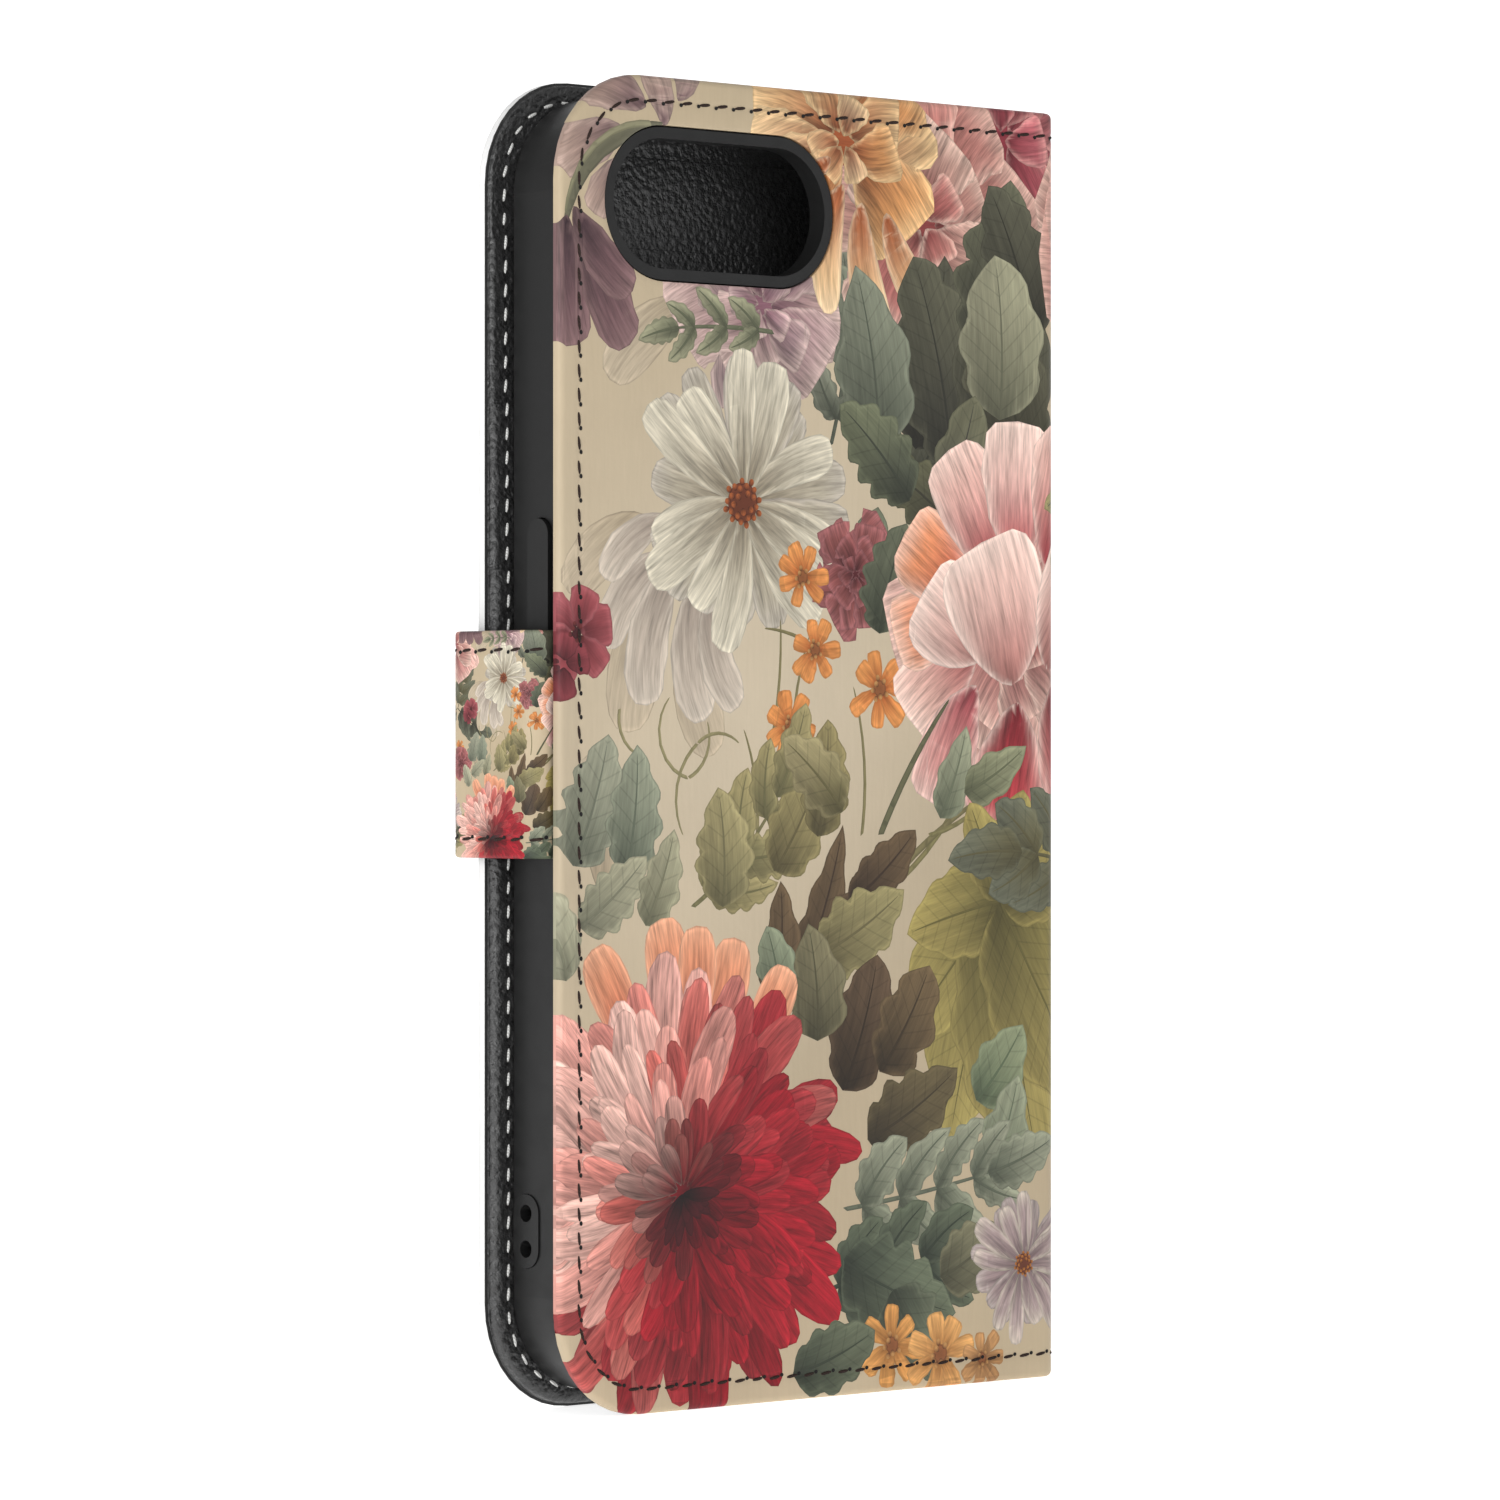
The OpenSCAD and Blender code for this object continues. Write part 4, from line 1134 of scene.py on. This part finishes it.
def along(line, pitch):
    """Places and directions at an even pitch along a flat polyline."""
    line = np.array(line, float)
    steps = np.hypot(*np.diff(line, axis=0).T)
    total = steps.sum()
    count = max(2, round(total/pitch))
    at = np.concatenate([[0], np.cumsum(steps)])
    out = []
    for k in range(count):
        d = (k + 0.5)*total/count
        j = min(np.searchsorted(at, d) - 1, len(steps) - 1)
        t = (line[j + 1] - line[j])/steps[j]
        out.append((line[j] + t*(d - at[j]), t))
    return out, total/count

def seam(name, line, place, thread, length=1.95, sink=0.05, hole=0.26):
    """Bars of thread along a flat line; place(q, depth) folds them. Beside each is a flat near-black disc,
    painted shade standing in for its needle hole.
    """
    pitch, wide, high, lean = 2.75, 0.4, 0.3, 7
    spots, step = along(line, pitch)
    verts, faces, black = [], [], []
    for p, t in spots:
        a = math.atan2(t[1], t[0]) + math.radians(lean*rng.uniform(0.7, 1.3))
        t = np.array([math.cos(a), math.sin(a)])
        n = np.array([-t[1], t[0]])
        long = length*rng.uniform(0.95, 1.04)*step/pitch
        q = p + bar_spots[:, :1]*long*t + bar_spots[:, 1:2]*wide*n
        dip = 0.16*(np.abs(bar_spots[:, 0])*2)**3
        first = len(verts)
        verts.extend(place(q, sink + dip - bar_spots[:, 2]*high))
        faces.extend(tuple(first + v for v in f) for f in bar_faces)
        # The needle hole: a flat near-black disc just over the surface, painted shade for the hole.
        first = len(verts)
        c = p + t*(long/2 + 0.10) + n*0.10
        ring_at = np.radians(np.arange(8)*45)
        disc = c + hole*(np.cos(ring_at)[:, None]*t*1.1 + np.sin(ring_at)[:, None]*n*0.9)
        verts.extend(place(disc, np.full(8, -0.012)))
        black.append(len(faces))
        faces.append(tuple(first + v for v in range(8)))
    mesh = bpy.data.meshes.new(name)
    mesh.from_pydata((np.array(verts)*MM).tolist(), [], faces)
    mesh.materials.append(thread)
    mesh.materials.append(hole_painted_shade)
    for k in black:
        mesh.polygons[k].material_index = 1
    for polygon in mesh.polygons:
        polygon.use_smooth = True
    piece = bpy.data.objects.new(name, mesh)
    bpy.context.scene.collection.objects.link(piece)
    print(name, len(spots), "stitches")
    return piece

def seam_line(on_front, inset):
    """The seam's path on one half: in from the spine, round the free edge and back."""
    line = rounded_loop(inset, inset, half_sheet, tall - inset, corner_r - inset, 0)
    line = line[1:] + line[:1]
    return [(sheet_w - x, z) for x, z in line] if on_front else line

for name, on_front, nodes in (("back_cover_stitches", False, ("back_outer_thread", "spine_thread")),
                              ("front_cover_stitches", True, ("front_outer_thread",))):
    piece = seam(name, seam_line(on_front, seam_in), on_sheet, dark_thread)
    bend_with_spine(piece, on_front)
    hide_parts(*nodes)

# %% White stitches on the inner side
pocket_tops = [(box_mm(node)[1].z, front - box_mm(node)[0].y) for node in
               ("card_pocket_lower", "card_pocket_middle", "card_pocket_upper", "bill_pocket")]

def inside_front(q, depth):
    """Depth on the inner side is counted from whichever pocket lies on top there."""
    z = q[:, 1].mean()
    face = next((d for top, d in pocket_tops if z < top), front_lining_depths[1])
    x, y = fold(q[:, 0], face - depth)
    return np.stack([x, y, q[:, 1]], -1)

def inside_back(q, depth):
    """Depth on the inner side of the back cover is counted from its lining."""
    x, y = fold(q[:, 0], back_lining_depths[1] - depth)
    return np.stack([x, y, q[:, 1]], -1)

def flat_part(line, on_front):
    """The stretch of a seam's path that lies on the flat cover."""
    last = flat - 1.2
    if on_front:
        return [(max(x, sheet_w - last), z) for x, z in line]
    return [(min(x, last), z) for x, z in line]

for name, on_front, place in (("back_lining_stitches", False, inside_back),
                              ("front_lining_stitches", True, inside_front)):
    line = flat_part(seam_line(on_front, seam_in - 0.5), on_front)
    piece = seam(name, line, place, white_thread, length=1.8, sink=0.03, hole=0.2)
    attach(piece, "front_cover" if on_front else "back_cover")
    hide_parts("front_inner_thread" if on_front else "back_inner_thread")

# %% [markdown]
# ## The strap
# A short tongue of the same leather comes from under the back cover, round the opening edge and
# on to the front, where two magnets hold it. The print on it is the same picture, much smaller.

# %% Strap
strap_r = 2.4
bend_x = tab_lo.x
turn_len = strap_r*math.pi/2
band_len = strap_hi.y - strap_lo.y
tab_len = tab_hi.x - tab_lo.x
strap_len = 2*turn_len + band_len + tab_len
strap_z0, strap_z1 = strap_lo.z, strap_hi.z
strap_mid = turn_len + band_len/2
strap_seam = 2.2
strap_corner = 5.0
strap_depths = (0.0, 0.8, 1.6)
foot_len = 3.05
print_scale = 0.226
print_shift = np.array([-12.8, 60.7])

def wrap_strap(q, depth):
    """Folds the flat strap, whose length runs from 0 at the back cover to minus its length."""
    t = -q[:, 0]
    first = np.clip(t/strap_r, 0, math.pi/2)
    second = np.clip((t - turn_len - band_len)/strap_r, 0, math.pi/2)
    r = strap_r - depth
    straight = np.clip(t - turn_len, 0, band_len)
    on_tab = np.maximum(t - 2*turn_len - band_len, 0)
    x = bend_x - r*np.sin(first) + r*(1 - np.cos(second)) + on_tab + np.maximum(-t, 0)
    y = strap_lo.y - r*np.cos(first) + straight + r*np.sin(second)
    return np.stack([x, y, q[:, 1]], -1)

def strap_edge(q):
    past_the_foot = 300
    return edge_in(q[:, 0] + strap_len, q[:, 1] - strap_z0, past_the_foot, strap_z1 - strap_z0, strap_corner)

def strap_keep(on_tab):
    def keep(q):
        mine = (q[:, 0] < -strap_mid) if on_tab else ((q[:, 0] > -strap_mid) & (q[:, 0] < foot_len))
        return mine & (strap_edge(q) > 1e-4)
    return keep

def strap_lines(on_tab, insets):
    lines = []
    for e in insets:
        if on_tab:
            loop = rounded_loop(-strap_len + e, strap_z0 + e, -strap_mid, strap_z1 - e, strap_corner - e, 0)
        else:
            loop = rounded_loop(-strap_mid, strap_z0 + e, foot_len, strap_z1 - e, 0, 0)
        lines.append((loop, True))
    start = turn_len + band_len if on_tab else 0
    for k in range(13):
        t = -(start + turn_len*k/12)
        lines.append(([(t, strap_z0), (t, strap_z1)], False))
    return lines

def small_copy(shape, shift):
    """The same petal or leaf at the strap's scale, moved along the sheet first."""
    new = Shape((shape.at + (shift, 0))*print_scale + print_shift, shape.heading, shape.length*print_scale,
                shape.width*print_scale, seed=shape.seed, scale=print_scale)
    for fact in ("form", "ruffle", "lobes", "lobe", "inner", "outer", "rim", "streak", "veins", "shade",
                 "dark"):
        setattr(new, fact, getattr(shape, fact))
    new.curl = shape.curl/print_scale
    return new

strap_art = [small_copy(shape, -sheet_w) for shape in art] + [small_copy(shape, 0) for shape in art]

def strap_part(name, on_tab, outer, inner, material):
    """The half of the strap's skin or lining on the tab's side of its middle, or on the cover's."""
    keep = strap_keep(on_tab)
    is_skin = material is printed
    low, high = (-strap_len, -strap_mid) if on_tab else (-strap_mid, foot_len)
    shapes = []
    if is_skin:
        shapes = [s for s in strap_art if reaches(s, low, high)]
        shapes = [s for s in shapes if strap_z0 - s.length < s.at[1] < strap_z1 + s.length]
    insets = (0, 0.08, 0.2, 0.4, strap_seam - 0.4, strap_seam, strap_seam + 0.4)
    def outer_depth(q):
        e = strap_edge(q)
        channel = 0.08*np.exp(-((e - strap_seam)/0.4)**2)
        return outer + (rolled(e, 0.4) + channel if is_skin else 0.02)
    def inner_depth(q):
        return inner - (0 if is_skin else rolled(strap_edge(q), 0.4))
    lines = strap_lines(on_tab, insets)
    scatter = np.array(spread(low + 0.3, strap_z0 + 0.3, high - 0.3, strap_z1 - 0.3, 0.8 if is_skin else 2.0))
    scatter = scatter[keep(scatter)]
    inner_lines = strap_lines(on_tab, (0, 0.2, 0.4))
    piece = build_skin(name, material, shapes, lines, inner_lines, list(map(tuple, scatter)), keep,
                       (outer_depth, inner_depth), wrap_strap, scale=print_scale)
    bend_strap(piece, on_tab)
    return piece

def bend_strap(piece, on_tab):
    """Bakes the half's placement into its mesh, the same for both halves; the bends round the opening edge
    come from wrap_strap.
    """
    if on_tab:
        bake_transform(piece)
    else:
        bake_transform(piece)

skin_depths, lining_depths = strap_depths[:2], strap_depths[1:]
strap_base_leather = strap_part("strap_base_leather", False, *skin_depths, printed)
strap_tab_leather = strap_part("strap_tab_leather", True, *skin_depths, printed)
strap_base_inside = strap_part("strap_base_lining", False, *lining_depths, black_leather)
strap_tab_inside = strap_part("strap_tab_lining_sheet", True, *lining_depths, black_leather)
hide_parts("strap_band_skin", "strap_anchor")
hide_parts("strap_tab_skin")
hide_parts("strap_band_lining")
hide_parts("strap_tab_lining")

# %% Tongue that is glued between the lining and the back board
bpy.ops.object.select_all(action="DESELECT")
bpy.ops.mesh.primitive_cube_add(size=1, location=(0, 0, 0))
tongue = bpy.context.object
tongue.name = "strap_tongue"
anchor_lo, anchor_hi = box_mm("strap_anchor")
tongue_lo = Vector((left + 0.5, anchor_lo.y + 0.05, anchor_lo.z))
tongue_hi = Vector((anchor_hi.x, anchor_lo.y + 0.45, anchor_hi.z))
tongue.data.transform(Matrix.Translation((tongue_lo + tongue_hi)/2*MM)
                      @ Matrix.Diagonal((*((tongue_hi - tongue_lo)*MM), 1)))
tongue.data.materials.append(black_leather)
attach(tongue, "back_cover")

# %% Strap stitches
low_z, high_z = strap_z0 + strap_seam, strap_z1 - strap_seam
base_seams = [[(-strap_mid, low_z), (0, low_z)], [(0, high_z), (-strap_mid, high_z)]]
tab_loop = rounded_loop(-strap_len + strap_seam, low_z, -strap_mid, high_z, strap_corner - strap_seam, 0)
tab_seam = tab_loop[1:] + tab_loop[:1]
for k, line in enumerate(base_seams):
    piece = seam(f"strap_base_stitches_{k}", line, wrap_strap, dark_thread, sink=0.08)
    bend_strap(piece, False)
    if k == 0:
        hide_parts("strap_band_thread")
piece = seam("strap_tab_stitches", tab_seam, wrap_strap, dark_thread, sink=0.08)
bend_strap(piece, True)
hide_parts("strap_tab_thread")

# %% [markdown]
# ## The tray and its keys
# The tray is moulded soft rubber, so it has no sharp edge anywhere. Its solid is already right;
# a small bevel rounds the edges as a mould would.

# %% Rounded rubber
def smooth_by_angle(limit):
    """A node group that shades faces smooth and keeps edges sharper than the limit crisp."""
    group = bpy.data.node_groups.new("smooth_by_angle", "GeometryNodeTree")
    for way in ("INPUT", "OUTPUT"):
        group.interface.new_socket("Geometry", in_out=way, socket_type="NodeSocketGeometry")
    nodes, link = group.nodes, group.links.new
    enter, leave = nodes.new("NodeGroupInput"), nodes.new("NodeGroupOutput")
    angle, gentle = nodes.new("GeometryNodeInputMeshEdgeAngle"), nodes.new("FunctionNodeCompare")
    edges, faces = nodes.new("GeometryNodeSetShadeSmooth"), nodes.new("GeometryNodeSetShadeSmooth")
    edges.domain = "EDGE"
    gentle.operation = "LESS_THAN"
    gentle.inputs[1].default_value = limit
    link(angle.outputs[0], gentle.inputs[0])
    link(gentle.outputs[0], edges.inputs["Shade Smooth"])
    link(enter.outputs[0], edges.inputs["Geometry"])
    link(edges.outputs[0], faces.inputs["Geometry"])
    link(faces.outputs[0], leave.inputs[0])
    return group

soft_shading = smooth_by_angle(math.radians(35))
for node, width in (("tray", 0.3), ("power_key", 0.3), ("action_key", 0.3), ("volume_up_key", 0.3),
                    ("volume_down_key", 0.3), ("lanyard_insert", 0.15)):
    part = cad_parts[node]
    for material_slot in part.material_slots:
        material_slot.material = rubber
    round_off = part.modifiers.new("moulded_edges", "BEVEL")
    round_off.width = width*MM
    round_off.segments = 3
    round_off.limit_method = "ANGLE"
    round_off.angle_limit = math.radians(50)
    shading = part.modifiers.new("soft_shading", "NODES")
    shading.node_group = soft_shading
